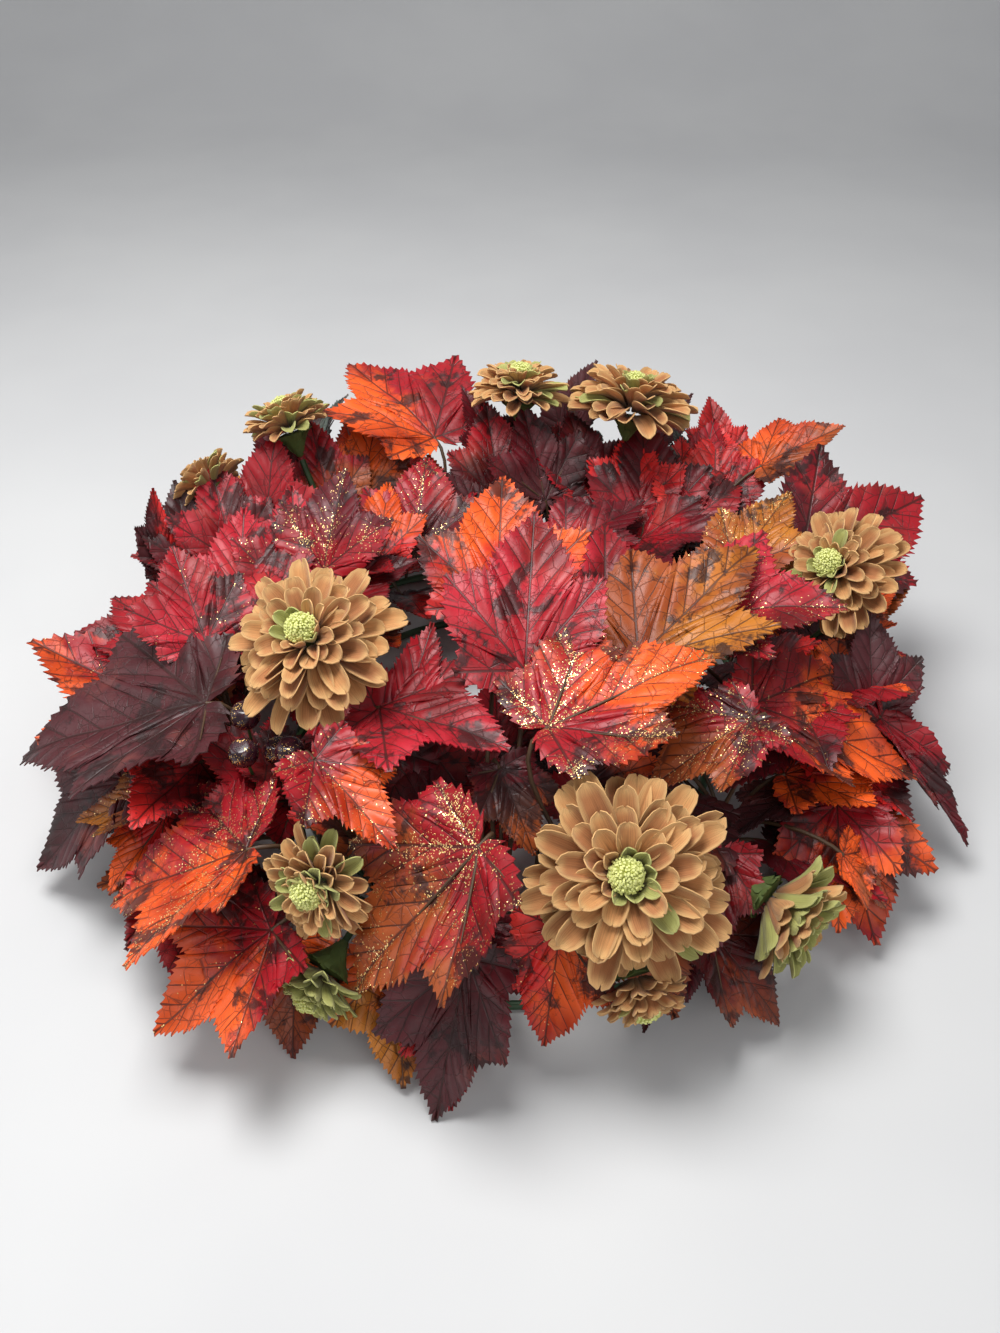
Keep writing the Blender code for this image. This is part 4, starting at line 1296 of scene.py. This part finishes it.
class WREATH_OT_berries(bpy.types.Operator):
    """Make the glitter berries on their wires"""

    bl_idname = "wreath.berries"
    bl_label = "Berries"

    def execute(self, context):
        for node, (root_turn, *place) in BERRIES.items():
            centre = on_ring(*place)
            root = on_ring(root_turn, 0, CROWN_TOP)
            axis = (centre - root).normalized()
            deselect()
            bpy.ops.mesh.primitive_uv_sphere_add(segments=32, ring_count=20, radius=BERRY_RADIUS)
            berry = bpy.context.active_object
            points = coordinates(berry.data)
            for point in points:
                # a dimple at the crown, with a small raised star round it
                level = point[2] / BERRY_RADIUS
                if level > 0.8:
                    point[2] -= BERRY_RADIUS * 0.9 * (level - 0.8)
                ripple = 0.02 * math.sin(5 * math.atan2(point[1], point[0])) * max(0.0, level)
                point[0] *= 1 + ripple
                point[1] *= 1 + ripple
            placed = axis_frame(centre, axis)
            place_points(berry.data, [placed @ Vector(point) for point in points])
            smooth(berry)
            berry.data.materials.append(berry_skin())
            run = [root, root.lerp(centre, 0.5), centre - axis * BERRY_RADIUS * 0.7]
            stem = wires(
                f"{node}_wire",
                [(run, BERRY_WIRE_RADIUS, BERRY_WIRE_RADIUS)],
                moulded_plastic("stem_green", colour_of("stem"), 0.5, 0.6),
            )
            berry = joined(node.replace("berry", "glitter_berry"), [berry, stem])
            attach(berry, "wreath")
            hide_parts(node)
        return {"FINISHED"}


class WREATH_OT_stage(bpy.types.Operator):
    """Lay the pale floor, hang the soft lamps and set the camera"""

    bl_idname = "wreath.stage"
    bl_label = "Stage"

    def execute(self, context):
        deselect()
        bpy.ops.mesh.primitive_plane_add(size=1.0, location=(0, 0, FLOOR_HEIGHT))
        floor = bpy.context.active_object
        floor.name = "floor"
        floor.scale = FLOOR_SIZE
        settle(floor)
        bpy.ops.object.mode_set(mode="EDIT")
        bpy.ops.mesh.select_all(action="DESELECT")
        bpy.ops.object.mode_set(mode="OBJECT")
        back = max(vertex.co.y for vertex in floor.data.vertices)
        for edge in floor.data.edges:
            edge.select = all(floor.data.vertices[v].co.y > back - 0.01 for v in edge.vertices)
        bpy.ops.object.mode_set(mode="EDIT")
        bpy.ops.mesh.select_mode(type="EDGE")
        bpy.ops.mesh.extrude_region_move(TRANSFORM_OT_translate={"value": (0, 0, BACKDROP_HEIGHT)})
        bpy.ops.object.mode_set(mode="OBJECT")
        bend = {"width": BACKDROP_BEND, "segments": 16}
        finish_modifier(floor, "BEVEL", **bend, affect="EDGES", limit_method="ANGLE")
        smooth(floor)
        paper = Nodes("floor_paper", 0.6, Specular_IOR_Level=0.3)
        place = paper.place()
        share = paper.ramp(paper.cloud(place, 3.0), 0.3, 0.7)
        paper.set("Base Color", paper.mixed(share, (0.60, 0.60, 0.60, 1.0), (0.64, 0.64, 0.635, 1.0)))
        floor.data.materials.append(paper.material)

        world = bpy.data.worlds.new("studio")
        world.use_nodes = True
        sky = world.node_tree.nodes["Background"].inputs
        sky["Color"].default_value = (0.93, 0.95, 1.0, 1.0)
        sky["Strength"].default_value = SKY_STRENGTH
        context.scene.world = world

        for name, (where, size, share) in LAMPS.items():
            bpy.ops.object.light_add(type="AREA", location=where)
            lamp = bpy.context.active_object
            lamp.name = name
            lamp.data.shape = "SQUARE"
            lamp.data.size = size
            lamp.data.energy = share * sizes().lamp_power
            lamp.rotation_euler = (Vector(LAMP_AIM) - Vector(where)).to_track_quat("-Z", "Y").to_euler()

        tilt = math.radians(CAMERA_TILT)
        back, above = CAMERA_REACH * math.cos(tilt), CAMERA_REACH * math.sin(tilt)
        bpy.ops.object.camera_add(
            location=(0, -back, CAMERA_AIM + above), rotation=(math.pi / 2 - tilt, 0, 0)
        )
        camera = bpy.context.active_object
        camera.data.sensor_fit = "VERTICAL"
        camera.data.sensor_height = CAMERA_SENSOR
        camera.data.lens = CAMERA_LENS
        context.scene.camera = camera
        context.scene.view_settings.view_transform = "Standard"
        return {"FINISHED"}


STEPS = (
    WREATH_OT_wire_frame,
    WREATH_OT_stems,
    WREATH_OT_leaves,
    WREATH_OT_sprays,
    WREATH_OT_under_leaves,
    WREATH_OT_zinnias,
    WREATH_OT_buds,
    WREATH_OT_berries,
    WREATH_OT_stage,
)


class WREATH_PT_pieces(bpy.types.Panel):
    """Lists the wreath's pieces"""

    bl_idname = "WREATH_PT_pieces"
    bl_label = "Autumn Wreath"
    bl_space_type = "VIEW_3D"
    bl_region_type = "UI"
    bl_category = "Wreath"

    def draw(self, context):
        for step in STEPS:
            self.layout.operator(step.bl_idname)
        for group in (context.scene.wreath_sizes, context.scene.wreath_colours):
            for name in group.__annotations__:
                self.layout.prop(group, name)


CLASSES = (WreathSizes, WreathColours, *STEPS, WREATH_PT_pieces)


def register():
    for cls in CLASSES:
        bpy.utils.register_class(cls)
    bpy.types.Scene.wreath_sizes = PointerProperty(type=WreathSizes)
    bpy.types.Scene.wreath_colours = PointerProperty(type=WreathColours)


def unregister():
    del bpy.types.Scene.wreath_colours
    del bpy.types.Scene.wreath_sizes
    for cls in reversed(CLASSES):
        bpy.utils.unregister_class(cls)


def main():
    register()
    bpy.ops.wreath.wire_frame()
    bpy.ops.wreath.stems()
    bpy.ops.wreath.leaves()
    bpy.ops.wreath.sprays()
    bpy.ops.wreath.under_leaves()
    bpy.ops.wreath.zinnias()
    bpy.ops.wreath.buds()
    bpy.ops.wreath.berries()
    bpy.ops.wreath.stage()
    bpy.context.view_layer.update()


if __name__ == "__main__":
    main()
